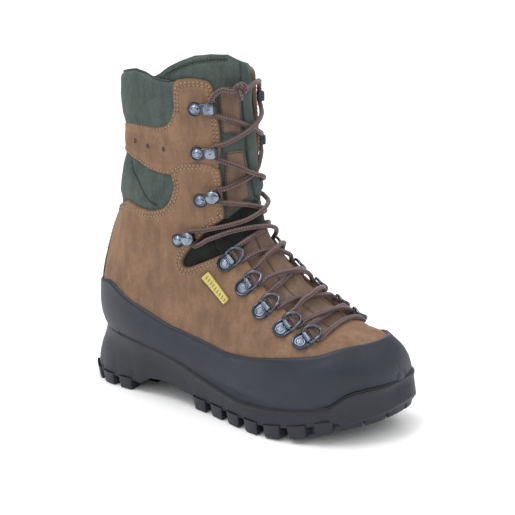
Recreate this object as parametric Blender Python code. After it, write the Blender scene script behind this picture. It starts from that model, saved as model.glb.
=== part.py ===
"""A right-foot mountaineering boot: toe along +X, medial side along +Y, up along +Z.

The origin is on the ground, under the middle of the boot.  The upper is a set of patterns
laid on one surface, the skin, which is the outer face of the leather.  A place on the skin
is (angle, station): the station runs from the toe (0) up the front to the collar (13), and
the angle goes round the boot from the front (0) over the lateral side (90) to the back or
the sole (180).  Medial places have negative angles.  Lengths here are millimetres, and
become metres where a mesh is made.
"""

import math

import bmesh
import bpy
import numpy as np
from mathutils import Matrix, Vector
from mathutils.geometry import delaunay_2d_cdt

MM = 0.001

# ---------------------------------------------------------------- driving dimensions

# The last's sections.  Each runs from a front point F to a back point B, with its widest
# place at the fraction m between them and its half-widths to each side of the line y = yc.
# station, F.x, F.z, B.x, B.z, lateral, medial, yc, m, front roundness, back roundness
SECTIONS = (
    (0.0, 139.5, 50, 139.5, 39, 2, 2, 14, 0.50, 2.0, 2.0),
    (0.25, 137, 59, 137, 36, 17, 17, 13, 0.60, 2.2, 2.6),
    (0.6, 132, 70, 132, 33, 28, 27, 11, 0.62, 2.3, 3.0),
    (1.0, 122.5, 78, 122.5, 29, 38, 33, 8, 0.62, 2.4, 4.5),
    (2.0, 101, 85, 101, 25, 50, 41, 4, 0.62, 2.4, 6.5),
    (3.0, 76, 99, 71, 25, 54, 46, 2, 0.64, 2.3, 6.5),
    (4.0, 53, 117, 37, 25, 52, 47, 0, 0.66, 2.2, 6.0),
    (5.0, 35, 137, -2, 25, 46, 44, 0, 0.66, 2.1, 5.0),
    (6.0, 25, 154, -52, 25, 43, 42, 0, 0.62, 2.1, 4.0),
    (7.0, 21, 170, -108, 27, 44, 42, 0, 0.58, 2.1, 3.2),
    (8.0, 18, 183, -141, 52, 45, 43, 0, 0.55, 2.1, 2.6),
    (9.0, 16, 196, -142, 88, 45, 43, 0, 0.52, 2.1, 2.5),
    (10.0, 15, 210, -127, 132, 44, 43, 0, 0.50, 2.2, 2.5),
    (11.0, 14, 226, -113, 172, 43, 43, 0, 0.50, 2.3, 2.5),
    (12.0, 12, 250, -106, 222, 44, 44, 0, 0.50, 2.3, 2.5),
    (13.0, 10, 280, -104, 272, 46, 46, 0, 0.50, 2.3, 2.5),
    (14.0, 8, 308, -102, 318, 47, 47, 0, 0.50, 2.3, 2.5),
)

# The medial half of the front is rounder than the lateral half.
MEDIAL_ROUNDING = 0.77

# The outsole's plan, from the heel round the lateral side to the toe and back.
SOLE_PLAN = (
    (-157, -1), (-150, -25), (-128, -38), (-90, -40), (-50, -39), (-10, -44), (30, -53),
    (58, -57), (88, -53), (114, -41), (133, -22), (145, 1), (147, 21), (140, 37),
    (124, 47), (100, 51), (72, 51), (40, 46), (0, 37), (-40, 33), (-90, 36), (-128, 35),
    (-150, 23),
)
SOLE_SPINE = ((-112, -1), (98, 4))
SOLE_SAMPLES = 42
# Height of the tread under each x: heel bevel, flat, and toe spring.
ROCKER_X = (-170, -157, -148, -140, -80, 20, 60, 90, 120, 150, 170)
ROCKER_Z = (12, 6, 2, 0, 0, 0, 0.5, 4, 11, 24, 34)
# Height of the line where the outsole meets the rand, with the toe bumper at its end.
SEAM_X = (-165, -140, -111, -85, -61, -40, -24, 0, 30, 60, 86, 104, 115, 125, 135, 155)
SEAM_Z = (52, 52, 50, 47, 41, 34, 28.5, 25, 23.5, 23.5, 25, 28, 33, 39, 43.5, 48)
# The rim stands outside the rand all round, and at the toe the rand goes down behind it.
RIM_STATIONS = (1.7, 2.3)
RIM_OFFSETS = (6.8, 4.8)
RIM_LOWEST_ANGLE = 122.0
FORM_OFFSETS = (4.4, 1.7)
TOE_RAND_END = (118.0, 0.95)
TOE_TIP = 0.02
TREAD_DEPTH = 8.5
# How far the sole is hollowed under the arch.
ARCH_X = (-88, -76, -60, -40, -22)
ARCH_Z = (0, 7, 7.5, 4, 0)
LUG_WIDTH = 19.0
LUG_COUNT = 33

# Layers, as (inner, outer) distance from the skin.
LEATHER = (-2.0, 0.0)
STIFFENER = (-4.4, -3.5)
FOOT_LINING = (-8.2, -5.4)
CUFF_LINING = (-7.2, -3.5)
FOOTBED = (-13.0, -9.9)
TONGUE = (-6.6, -3.2)
FLEX_PANEL = (-5.0, -3.2)
PATCH = (-2.9, -2.3)
RAND = (1.2, 3.7)
BACKSTAY = (0.8, 2.0)
COLLAR_PAD = (-2.0, 3.0)
ACHILLES_PAD = (-2.0, 2.2)
LABEL = (0.6, 1.4)
SHANK = (-2.2, -1.0)

# The middle of the plan in the coordinates used here, which the last step puts at the origin.
PLAN_MIDDLE = (-5.1, -2.3, 0.0)

# The ankle hinge, and the line behind it where the cuff parts from the foot.
HINGE_X, HINGE_Z = -33.0, 126.0
SPLIT_SLOPE = 0.2
SPLIT_GAP = 0.8

THROAT = 34.0
NOTCH_END = 67.5
LINING_FRONT = 52.5
TONGUE_SIDE = 49.0
FLAP_EDGE = {"lateral": 1.0, "medial": 0.74}
SEAM_BACK = 179.6

# The grid that every layer shares, so that their facets lie parallel.
ANGLE_GRID = tuple(range(-180, 361, 18))
STATION_GRID = (
    0.03, 0.14, 0.25, 0.4, 0.6, 0.8, 1.1, 1.7, 2.3, 2.9, 3.5, 4.1, 4.7, 5.3, 5.9, 6.5,
    6.8, 7.1, 7.4, 7.7, 8.0, 8.4, 8.8, 9.3, 9.8, 10.4, 11.0, 11.6, 12.2, 12.9,
)
CLOSEST = 2.5
DEGREE_MM = 0.8
STATION_MM = 22.0

# Lace hardware: rivet and tip of each, as (angle, station), from the toe up.
LOOPS = (
    ((50, 2.62), (33.5, 2.37)),
    ((50.5, 3.27), (34, 3.02)),
    ((51, 4.08), (33.5, 3.82)),
    ((50.5, 5.0), (33.5, 4.68)),
    ((51, 6.12), (35, 5.84)),
)
HOOKS = (
    ((67, 8.2), (54.5, 7.78)),
    ((52, 9.15), (37.5, 8.95)),
    ((57, 11.1), (40.5, 10.92)),
    ((56, 12.25), (39.5, 12.2)),
)
RIVET_D = -7.5
RIVET_RADIUS = 3.6
BARREL_D, BARREL_H, BARREL_RADIUS, BARREL_LENGTH = -1.0, 2.6, 1.9, 7.0
RING_WIRE = 0.75
RING_TIP = 9.6
LACE_RADIUS = 1.8
LOOP_LACE = (3.0, 2.4)
LOOP_REACH = 6.5
HOOK_LACE = (5.4, 3.7)
HOOK_REACH = 6.2
HOOK_WIDTH = 7.6
LACE_SPACING = 7.5
EDGE_LIFT = 3.6
LACE_LOW, LACE_HIGH = 0.3, 4.3
KNOT_PLACE = (12.0, 12.5)

LEATHER_BROWN = ((0.30, 0.17, 0.10), 0.75, 0.0)
LEATHER_GREEN = ((0.07, 0.10, 0.08), 0.8, 0.0)
LEATHER_OLIVE = ((0.12, 0.09, 0.05), 0.8, 0.0)
RUBBER_GREY = ((0.045, 0.055, 0.065), 0.6, 0.0)
RUBBER_BLACK = ((0.03, 0.035, 0.045), 0.65, 0.0)
FOAM = ((0.08, 0.08, 0.09), 0.9, 0.0)
BOARD = ((0.45, 0.38, 0.28), 0.8, 0.0)
STEEL = ((0.30, 0.31, 0.34), 0.3, 1.0)
TEXTILE = ((0.05, 0.07, 0.06), 0.95, 0.0)
STRETCH = ((0.015, 0.016, 0.015), 0.9, 0.0)
LACE = ((0.10, 0.065, 0.06), 0.8, 0.0)
YELLOW = ((0.55, 0.47, 0.12), 0.5, 0.0)


# ---------------------------------------------------------------- the skin

def curve_through(knots, values, at):
    """A smooth curve through the values given at the knots, read at the given places."""
    knots = np.asarray(knots, float)
    values = np.asarray(values, float)
    flat = values.ndim == 1
    if flat:
        values = values[:, None]
    at = np.atleast_1d(np.asarray(at, float))
    gap = np.diff(knots)[:, None]
    slope = np.diff(values, axis=0) / gap
    tangent = np.empty_like(values)
    tangent[0], tangent[-1] = slope[0], slope[-1]
    tangent[1:-1] = (slope[:-1] * gap[1:] + slope[1:] * gap[:-1]) / (gap[:-1] + gap[1:])
    i = np.clip(np.searchsorted(knots, at, side="right") - 1, 0, len(knots) - 2)
    t = ((at - knots[i]) / (knots[i + 1] - knots[i]))[:, None]
    found = (
        (2 * t**3 - 3 * t**2 + 1) * values[i]
        + (t**3 - 2 * t**2 + t) * gap[i] * tangent[i]
        + (3 * t**2 - 2 * t**3) * values[i + 1]
        + (t**3 - t**2) * gap[i] * tangent[i + 1]
    )
    return found[:, 0] if flat else found


def section_points(station, turn):
    """Points of the skin; turn is the angle in radians."""
    table = np.array(SECTIONS, float)
    fx, fz, bx, bz, lateral, medial, middle, widest, front, back = curve_through(
        table[:, 0], table[:, 1:], station
    ).T
    cosine, sine = np.cos(turn), np.sin(turn)
    front = np.where(sine < 0, front * MEDIAL_ROUNDING, front)
    power = np.where(cosine > 0, front, back)
    radius = (np.abs(cosine) ** power + np.abs(sine) ** power) ** (-1 / power)
    span = np.where(cosine > 0, widest, 1 - widest)
    along = widest - span * radius * cosine
    width = np.where(sine > 0, lateral, medial)
    return np.stack(
        [fx + (bx - fx) * along, middle - width * radius * sine, fz + (bz - fz) * along], -1
    )


def normals(station, turn):
    step = 1e-3
    top = SECTIONS[-1][0]
    rise = section_points(np.clip(station + step, 0, top), turn) - section_points(
        np.clip(station - step, 0, top), turn
    )
    round_ = section_points(station, turn + step) - section_points(station, turn - step)
    out = np.cross(rise, round_)
    return out / np.linalg.norm(out, axis=-1, keepdims=True)


def skin(angle, station, offset=0.0):
    """Points at a distance outside the skin, for angles in degrees; arrays or numbers."""
    angle, station, offset = np.broadcast_arrays(angle, station, offset)
    turn = np.radians(angle.astype(float).ravel())
    rows = station.astype(float).ravel()
    out = section_points(rows, turn) + normals(rows, turn) * offset.ravel()[:, None]
    return out.reshape(angle.shape + (3,))


def bisect(low, high, below):
    """The place between low and high where below() turns false."""
    for _ in range(40):
        middle = (low + high) / 2
        if below(middle):
            low = middle
        else:
            high = middle
    return (low + high) / 2


def split_station(angle, gap):
    """The station where the cuff's lower edge crosses this angle, moved up by the gap."""

    def below(station):
        x, _, z = skin(angle, station)
        return z < HINGE_Z + gap + SPLIT_SLOPE * (x - HINGE_X)

    return bisect(6.8, 11.0, below)


def seam_height(x):
    return np.interp(x, SEAM_X, SEAM_Z)


def rocker(x):
    return np.interp(x, ROCKER_X, ROCKER_Z)


def tread_top(x):
    """Height of the sole's underside between its tread blocks."""
    return rocker(x) + TREAD_DEPTH + np.interp(x, ARCH_X, ARCH_Z)


def seam_angle(station, offset, clearance, side):
    """The angle where a layer comes down to the outsole's rim."""

    def above(angle):
        x, _, z = skin(side * angle, station, offset)
        return z > seam_height(x) + clearance

    return bisect(0.0, 180.0, above)


# ---------------------------------------------------------------- making objects

def clear_scene():
    for found in list(bpy.data.objects):
        bpy.data.objects.remove(found, do_unlink=True)


def new_collection(name, hidden=False):
    made = bpy.data.collections.new(name)
    made.hide_render = hidden
    bpy.context.scene.collection.children.link(made)
    return made


def material(name, look):
    colour, roughness, metallic = look
    made = bpy.data.materials.new(name)
    made.use_nodes = True
    shader = made.node_tree.nodes["Principled BSDF"]
    shader.inputs["Base Color"].default_value = (*colour, 1.0)
    shader.inputs["Roughness"].default_value = roughness
    shader.inputs["Metallic"].default_value = metallic
    return made


def finish_mesh(bm, name):
    bmesh.ops.recalc_face_normals(bm, faces=bm.faces)
    if bm.calc_volume(signed=True) < 0:
        bmesh.ops.reverse_faces(bm, faces=bm.faces)
    mesh = bpy.data.meshes.new(name)
    bm.to_mesh(mesh)
    bm.free()
    mesh.shade_smooth()
    mesh.set_sharp_from_angle(angle=math.radians(40))
    return mesh


def centre_on_origin():
    """Moves every object that has no parent, so that the plan's middle is at the origin."""
    bpy.context.view_layer.update()
    shift = Matrix.Translation(Vector(PLAN_MIDDLE) * -MM)
    for collection in (BOOT, CUTTERS):
        for made in collection.objects:
            if made.parent is None:
                made.matrix_world = shift @ made.matrix_world


def place(mesh, name, look, collection, matrix=None, parent=None):
    """A named object of this mesh, with a material of its own."""
    made = bpy.data.objects.new(name, mesh)
    collection.objects.link(made)
    if not mesh.materials:
        mesh.materials.append(None)
    made.material_slots[0].link = "OBJECT"
    made.material_slots[0].material = material(name, look)
    if parent is not None:
        made.parent = parent
    if matrix is not None:
        made.matrix_world = matrix
    return made


def cutter(mesh, name):
    made = bpy.data.objects.new(name, mesh)
    CUTTERS.objects.link(made)
    made.hide_render = True
    made.display_type = "WIRE"
    return made


def combine(target, other, operation):
    change = target.modifiers.new(operation.lower() + "_" + other.name, "BOOLEAN")
    change.operation = operation
    change.object = other
    change.solver = "EXACT"
    return target


def applied(target, name):
    """The mesh that an object has after its modifiers."""
    bpy.context.view_layer.update()
    graph = bpy.context.evaluated_depsgraph_get()
    mesh = bpy.data.meshes.new_from_object(target.evaluated_get(graph))
    mesh.name = name
    return mesh


def frame_matrix(origin, along, across, up):
    """A matrix in metres whose X, Y and Z are the three directions given."""
    rows = [[along[i], across[i], up[i], origin[i] * MM] for i in range(3)]
    return Matrix(rows + [[0, 0, 0, 1]])


# ---------------------------------------------------------------- patterns

def subdivided(outline):
    """The outline with a point wherever a side crosses a line of the grid."""
    points = []
    for (a0, s0), (a1, s1) in zip(outline, outline[1:] + outline[:1]):
        cuts = [(a - a0) / (a1 - a0) for a in ANGLE_GRID if a1 != a0]
        cuts += [(s - s0) / (s1 - s0) for s in STATION_GRID if s1 != s0]
        length = (flat((a1, s1)) - flat((a0, s0))).length
        margin = CLOSEST / length
        last = 0.0
        points.append((a0, s0))
        for part in sorted(cuts):
            if last + margin < part < 1 - margin:
                points.append((a0 + (a1 - a0) * part, s0 + (s1 - s0) * part))
                last = part
    return points


def flat(place_):
    return Vector((place_[0] * DEGREE_MM, place_[1] * STATION_MM))


def edge_distance(point, ring):
    best = 1e9
    for a, b in zip(ring, ring[1:] + ring[:1]):
        side = b - a
        t = max(0.0, min(1.0, (point - a).dot(side) / max(side.length_squared, 1e-9)))
        best = min(best, (point - a - side * t).length)
    return best


def inside(point, ring):
    found = False
    for a, b in zip(ring, ring[1:] + ring[:1]):
        if (a.y > point.y) != (b.y > point.y):
            cross = a.x + (point.y - a.y) * (b.x - a.x) / (b.y - a.y)
            if point.x < cross:
                found = not found
    return found


def shrunk(outline, distance):
    """The outline moved inwards by a distance along the skin."""
    ring = [flat(p) for p in outline]
    area = sum(a.x * b.y - a.y * b.x for a, b in zip(ring, ring[1:] + ring[:1]))
    turn = 1 if area > 0 else -1
    moved = []
    for before, here, after in zip(ring[-1:] + ring[:-1], ring, ring[1:] + ring[:1]):
        first = (here - before).normalized()
        second = (after - here).normalized()
        way = first + second
        inward = Vector((-way.y, way.x)).normalized() * turn
        new = here + inward * distance
        moved.append((new.x / DEGREE_MM, new.y / STATION_MM))
    return moved


def pattern(name, outline, layer, look):
    """A piece cut flat to an outline, given its thickness, and bent onto the skin."""
    border = subdivided(outline)
    ring = [flat(p) for p in border]
    points = list(ring)
    for angle in ANGLE_GRID:
        for station in STATION_GRID:
            inner = flat((angle, station))
            if inside(inner, ring) and edge_distance(inner, ring) > CLOSEST:
                points.append(inner)
    found, _, faces, *_ = delaunay_2d_cdt(points, [], [list(range(len(ring)))], 1, 1e-4)
    bm = bmesh.new()
    corners = [bm.verts.new((p.x, p.y, 0.0)) for p in found]
    for face in faces:
        bm.faces.new([corners[k] for k in face])
    made = bmesh.ops.extrude_face_region(bm, geom=bm.faces[:])
    for item in made["geom"]:
        if isinstance(item, bmesh.types.BMVert):
            item.co.z = 1.0
    cage = np.array([v.co for v in bm.verts])
    inner_side, outer_side = layer
    bent = skin(
        cage[:, 0] / DEGREE_MM,
        cage[:, 1] / STATION_MM,
        inner_side + (outer_side - inner_side) * cage[:, 2],
    )
    for vertex, co in zip(bm.verts, bent):
        vertex.co = co * MM
    return place(finish_mesh(bm, name), name, look, BOOT)


def mirrored(outline):
    return [(-angle, station) for angle, station in outline]


def wrapped(half):
    """The lateral half of an outline, from the back round its front to the back, made whole."""
    return half + [(360 - angle, station) for angle, station in reversed(half) if angle < 180]


def split_edge(first, last, gap, count):
    """Places along the cuff's lower edge from one angle to another."""
    return [(a, split_station(a, gap)) for a in np.linspace(first, last, count)]


# ---------------------------------------------------------------- upper

NOTCH_LOWER = [(36, 6.15), (50, 6.6), (59, 6.86), (65, 7.06), (NOTCH_END, 7.22)]
ACHILLES_FRONT = [
    (121, 10.63), (103, 10.15), (91, 9.86), (79, 9.68), (75, 9.85), (73.5, 10.3), (78, 10.67),
    (97, 11.1), (112, 11.4), (127, 11.6), (150, 11.73),
]
COLLAR_LOWER = [(122, 12.18), (103, 12.08), (89, 11.98), (78, 12.04), (74, 12.3), (71.5, 12.93)]


def quarter(side):
    """The leather of the side of the foot, up to the flex notch and the cuff."""
    outline = (
        [(THROAT, 2.13), (THROAT, 6.05)]
        + NOTCH_LOWER
        + split_edge(NOTCH_END + 1, SEAM_BACK, 0.0, 9)
        + [(SEAM_BACK, 7.75), (155, 7.0), (155, 2.13)]
    )
    return outline if side == "lateral" else mirrored(outline)


def cuff(side):
    """The leather of the shaft, cut out for the heel-tendon pad and the collar pad."""
    front = [(38, 12.65), (37, 11.75), (37, 10.9), (35, 9.65), (34, 8.3), (36, 7.6)]
    front = [(angle * FLAP_EDGE[side], station) for angle, station in front]
    outline = (
        front
        + [(50, 7.52), (62, 7.5)]
        + split_edge(NOTCH_END + 1, SEAM_BACK, SPLIT_GAP, 9)
        + [(SEAM_BACK, 10.68)]
        + ACHILLES_FRONT
        + [(SEAM_BACK, 11.78), (SEAM_BACK, 12.18)]
        + COLLAR_LOWER
        + [(53, 12.93), (42, 12.82)]
    )
    return outline if side == "lateral" else mirrored(outline)


def rand_outline():
    """The rubber band: its top edge, then its lower edge just over the outsole's rim."""
    top = [
        (SEAM_BACK, 9.25), (150, 9.0), (123, 8.65), (106, 7.7), (99, 7.0), (98, 6.25),
        (94, 5.5), (89, 4.65), (75, 3.35), (62, 2.5), (49, 1.8), (29, 1.05), (0, 0.84),
    ]
    stations = [7.9, 7.5, 7.0, 6.5, 6.0, 5.5, 5.0, 4.25, 3.5, 2.75, 2.0, 1.6]
    lower = [(SEAM_BACK, 8.06)]
    lower += [(seam_angle(s, RAND[1], 1.4, 1), s) for s in stations]
    lower += [TOE_RAND_END, (TOE_RAND_END[0], TOE_TIP)]
    lower += [(-TOE_RAND_END[0], TOE_TIP), (-TOE_RAND_END[0], TOE_RAND_END[1])]
    lower += [(-seam_angle(s, RAND[1], 1.4, -1), s) for s in reversed(stations)]
    lower += [(-SEAM_BACK, 8.06)]
    return top + mirrored(top[-2::-1]) + lower[::-1]


def foot_lining_outline():
    notch = [(LINING_FRONT, 6.72)] + NOTCH_LOWER[2:]
    side = notch + split_edge(NOTCH_END + 1, SEAM_BACK, 0.0, 9)
    return (
        [(-SEAM_BACK, 0.35), (SEAM_BACK, 0.35)]
        + side[::-1]
        + [(LINING_FRONT, 1.85), (-LINING_FRONT, 1.85)]
        + mirrored(side)
    )


def cuff_lining_outline():
    lower = split_edge(180, NOTCH_END + 1, SPLIT_GAP, 9) + [(62, 7.5), (LINING_FRONT, 7.52)]
    return wrapped(lower + [(LINING_FRONT, 12.9), (180, 12.95)])


def flex_panel_outline():
    lateral = [
        (TONGUE_SIDE, 6.32), (51, 6.72), (59, 6.94), (65, 7.16), (66.5, 7.3), (64, 7.42),
        (51, 7.45), (TONGUE_SIDE, 7.6),
    ]
    return lateral + mirrored(lateral[::-1])


def make_upper():
    pattern("vamp", [(-155, 0.25), (155, 0.25), (155, 2.1), (-155, 2.1)], LEATHER, LEATHER_BROWN)
    for side in ("lateral", "medial"):
        pattern(f"quarter_{side}", quarter(side), LEATHER, LEATHER_BROWN)
        pattern(f"cuff_{side}", cuff(side), LEATHER, LEATHER_BROWN)
    pattern("rand", rand_outline(), RAND, RUBBER_GREY)
    achilles = wrapped([(180, 10.68)] + ACHILLES_FRONT + [(180, 11.78)])
    pattern("achilles_pad", shrunk(achilles, 0.8), ACHILLES_PAD, LEATHER_GREEN)
    upper = [(80, 13.06), (96, 13.2), (123, 13.25), (150, 13.2), (180, 13.15)]
    collar = wrapped([(180, 12.18)] + COLLAR_LOWER + upper)
    pattern("collar_pad", shrunk(collar, 0.8), COLLAR_PAD, LEATHER_GREEN)
    backstay = [(180, 9.56), (152, 9.62), (154, 9.9), (158, 10.2), (165, 10.6), (180, 10.62)]
    pattern("backstay", wrapped(backstay), BACKSTAY, LEATHER_OLIVE)
    label = [(59, 6.42), (61, 5.25), (66, 5.33), (64.2, 6.48)]
    pattern("label_tag", label, LABEL, YELLOW)


def make_lining_and_stiffeners():
    pattern("lining_foot", foot_lining_outline(), FOOT_LINING, TEXTILE)
    pattern("lining_cuff", cuff_lining_outline(), CUFF_LINING, TEXTILE)
    pattern("toe_puff", [(-98, 0.3), (98, 0.3), (98, 1.15), (-98, 1.15)], STIFFENER, FOAM)
    counter = [(180, 7.5), (135, 7.4), (113, 7.45), (113, 8.2), (140, 8.8), (180, 8.95)]
    pattern("heel_counter", wrapped(counter), STIFFENER, FOAM)
    board = [(142, 0.9), (218, 0.9), (218, 7.25), (142, 7.25)]
    pattern("insole_board", board, STIFFENER, BOARD)
    bed = [(140, 0.9), (220, 0.9), (220, 7.25), (140, 7.25)]
    pattern("footbed", bed, FOOTBED, FOAM)
    shank = [(166, 3.7), (194, 3.7), (194, 6.9), (166, 6.9)]
    pattern("shank", shank, SHANK, STEEL)


def make_tongue():
    lower = [(-TONGUE_SIDE, 1.92), (TONGUE_SIDE, 1.92), (TONGUE_SIDE, 6.26), (-TONGUE_SIDE, 6.26)]
    pattern("tongue_lower", lower, TONGUE, LEATHER_BROWN)
    pattern("tongue_flex_panel", flex_panel_outline(), FLEX_PANEL, STRETCH)
    upper = [
        (-TONGUE_SIDE, 7.66), (TONGUE_SIDE, 7.66), (TONGUE_SIDE, 12.85), (57, 13.05),
        (69, 13.1), (60, 13.35), (45, 13.5), (25, 13.52), (5, 13.46), (-20, 13.32),
        (-38, 13.1), (-TONGUE_SIDE, 12.8),
    ]
    pattern("tongue_upper", upper, TONGUE, LEATHER_GREEN)
    for number, (low, high) in enumerate(((8.2, 9.55), (9.65, 10.6), (11.25, 12.6)), 1):
        patch = [(1, low), (26, low), (26, high), (1, high)]
        pattern(f"tongue_patch_{number}", patch, PATCH, LEATHER_BROWN)


# ---------------------------------------------------------------- sole

def loft(name, rings):
    """A closed body through rings of equal count, with a flat face over each end."""
    bm = bmesh.new()
    rows = [[bm.verts.new(Vector(p) * MM) for p in ring] for ring in rings]
    count = len(rows[0])
    for low, high in zip(rows, rows[1:]):
        for i in range(count):
            j = (i + 1) % count
            bm.faces.new((low[i], low[j], high[j], high[i]))
    bm.faces.new(rows[0][::-1])
    bm.faces.new(rows[-1])
    bmesh.ops.triangulate(bm, faces=bm.faces[:])
    return finish_mesh(bm, name)


def sole_plan():
    """Points evenly round the plan of the outsole."""
    points = np.array(SOLE_PLAN, float)
    looped = np.vstack([points[-3:], points, points[:4]])
    places = np.linspace(0, len(points), SOLE_SAMPLES * 8, endpoint=False)
    fine = curve_through(np.arange(-3, len(points) + 4), looped, places)
    step = np.linalg.norm(np.diff(np.vstack([fine, fine[:1]]), axis=0), axis=1)
    along = np.concatenate([[0], np.cumsum(step)])
    even = np.linspace(0, along[-1], SOLE_SAMPLES, endpoint=False)
    closed = np.vstack([fine, fine[:1]])
    return np.stack([np.interp(even, along, closed[:, k]) for k in (0, 1)], 1)


def spine_points(plan):
    """The nearest point of the sole's spine to each point."""
    first, last = (np.array(p, float) for p in SOLE_SPINE)
    way = last - first
    t = np.clip(((plan - first) @ way) / (way @ way), 0, 1)
    return first + t[:, None] * way


def rim_plan(plan):
    """The plan of the outsole's rim, which lies just outside the rand all round."""
    stations = np.concatenate([np.linspace(0.3, 1.5, 14), np.linspace(1.6, 8.1, 40)])
    edge = []
    for side in (1, -1):
        for station in stations if side == 1 else stations[::-1]:
            out = np.interp(station, RIM_STATIONS, RIM_OFFSETS)
            angle = seam_angle(station, out, 0.0, side)
            if station < 7:
                angle = min(angle, RIM_LOWEST_ANGLE)
            edge.append(skin(side * angle, station, out)[:2])
        if side == 1:
            edge.append(skin(180, 8.15, RIM_OFFSETS[1])[:2])
    edge.append(skin(0, 0.2, RIM_OFFSETS[0])[:2])
    edge = np.array(edge)
    rim = []
    for foot, point in zip(spine_points(plan), plan):
        way = (point - foot) / np.linalg.norm(point - foot)
        far = 0.0
        for a, b in zip(edge, np.roll(edge, -1, axis=0)):
            side = b - a
            cross = way[0] * side[1] - way[1] * side[0]
            if abs(cross) < 1e-9:
                continue
            reach = ((a - foot)[0] * side[1] - (a - foot)[1] * side[0]) / cross
            part = ((a - foot)[0] * way[1] - (a - foot)[1] * way[0]) / cross
            if -1e-6 <= part <= 1 + 1e-6:
                far = max(far, reach)
        rim.append(foot + way * far)
    rim = np.array(rim)
    smooth = (np.roll(rim, 1, axis=0) + 2 * rim + np.roll(rim, -1, axis=0)) / 4
    return smooth


def ring_at(plan, height, inset=0.0):
    """A ring over the plan, drawn in towards the spine by a distance, at a height rule."""
    spine = spine_points(plan)
    way = plan - spine
    length = np.linalg.norm(way, axis=1, keepdims=True)
    moved = spine + way * np.maximum(length - inset, 0.12 * length) / length
    return np.column_stack([moved, height(moved[:, 0])])


def lug(plan, first, last, inner_width, depth):
    """A tread block between two places round the plan, tapered a little to its foot."""
    count = len(plan)

    def at(place_, inset):
        i = int(math.floor(place_)) % count
        part = place_ - math.floor(place_)
        point = plan[i] * (1 - part) + plan[(i + 1) % count] * part
        spine = spine_points(point[None])[0]
        way = (spine - point) / np.linalg.norm(spine - point)
        return point + way * inset

    bm = bmesh.new()
    bmesh.ops.create_cube(bm, size=1.0)
    for vertex in bm.verts:
        low = vertex.co.z < 0
        draft = 0.8 if low else 0.0
        place_ = (first + 0.06 if low else first) if vertex.co.x < 0 else (last - 0.06 if low else last)
        inset = 0.4 + draft if vertex.co.y < 0 else inner_width - draft
        x, y = at(place_, inset)
        z = rocker(x) + (0.0 if low else depth)
        vertex.co = Vector((x, y, z)) * MM
    bmesh.ops.triangulate(bm, faces=bm.faces[:])
    return finish_mesh(bm, "lug")


def joined(meshes, name):
    """One mesh holding all of these."""
    bm = bmesh.new()
    for mesh in meshes:
        bm.from_mesh(mesh)
    return finish_mesh(bm, name)


def tread_lugs(plan):
    """Blocks round the edge of the forefoot and the heel, and bars across the middle."""
    lugs = []
    pitch = SOLE_SAMPLES / LUG_COUNT
    for i in range(LUG_COUNT):
        x = plan[int((i + 0.5) * pitch) % SOLE_SAMPLES][0]
        if -88 < x < -24:
            continue
        first, last = (i + 0.1) * pitch, (i + 0.85) * pitch
        lugs.append(lug(plan, first, last, LUG_WIDTH, TREAD_DEPTH + 1.5))
    for x, half in ((-118, 14), (-97, 14), (5, 20), (28, 27), (52, 30), (76, 28), (100, 21)):
        bm = bmesh.new()
        bmesh.ops.create_cube(bm, size=1.0)
        for vertex in bm.verts:
            px = x + vertex.co.x * 11
            pz = rocker(px) + (0.0 if vertex.co.z < 0 else TREAD_DEPTH + 1.5)
            vertex.co = Vector((px, vertex.co.y * half, pz)) * MM
        lugs.append(finish_mesh(bm, "bar"))
    return joined(lugs, "tread")


def make_sole():
    plan = sole_plan()
    rim = rim_plan(plan)
    waist = plan * 0.6 + rim * 0.4

    def lower_side(x):
        return tread_top(x) + 1.5

    def middle_side(x):
        return 0.5 * (lower_side(x) + seam_height(x))

    rings = [
        ring_at(plan, tread_top, 1e6),
        ring_at(plan, tread_top, 3.0),
        ring_at(plan, lower_side, 0.6),
        ring_at(waist, middle_side, 0.3),
        ring_at(rim, lambda x: seam_height(x) - 1.5),
        ring_at(rim, seam_height, 1.2),
        ring_at(rim, seam_height, 1e6),
    ]
    block = place(loft("outsole", rings), "outsole", RUBBER_BLACK, BOOT)

    round_ = [angle for angle in ANGLE_GRID if 0 <= angle < 360]
    stations = [s for s in STATION_GRID if s < 9]
    form = loft(
        "foot_form",
        [skin(round_, s, np.interp(s, RIM_STATIONS, FORM_OFFSETS)) for s in stations],
    )
    combine(block, cutter(tread_lugs(plan), "tread"), "UNION")
    combine(block, cutter(form, "foot_form"), "DIFFERENCE")

    pocket_plan = ring_at(plan, tread_top, 9.0)[:, :2]

    def prism(name, grow, low, high):
        return loft(
            name,
            [ring_at(pocket_plan, low, -grow), ring_at(pocket_plan, high, -grow)],
        )

    pocket = prism("midsole_pocket", 0.4, lambda x: tread_top(x) + 3.0, lambda x: x * 0 + 60)
    combine(block, cutter(pocket, "midsole_pocket"), "DIFFERENCE")
    middle = prism("midsole", 0.0, lambda x: tread_top(x) + 3.4, lambda x: seam_height(x) - 3.0)
    wedge = place(middle, "midsole", FOAM, BOOT)
    combine(wedge, bpy.data.objects["foot_form"], "DIFFERENCE")


# ---------------------------------------------------------------- lace hardware

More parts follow.
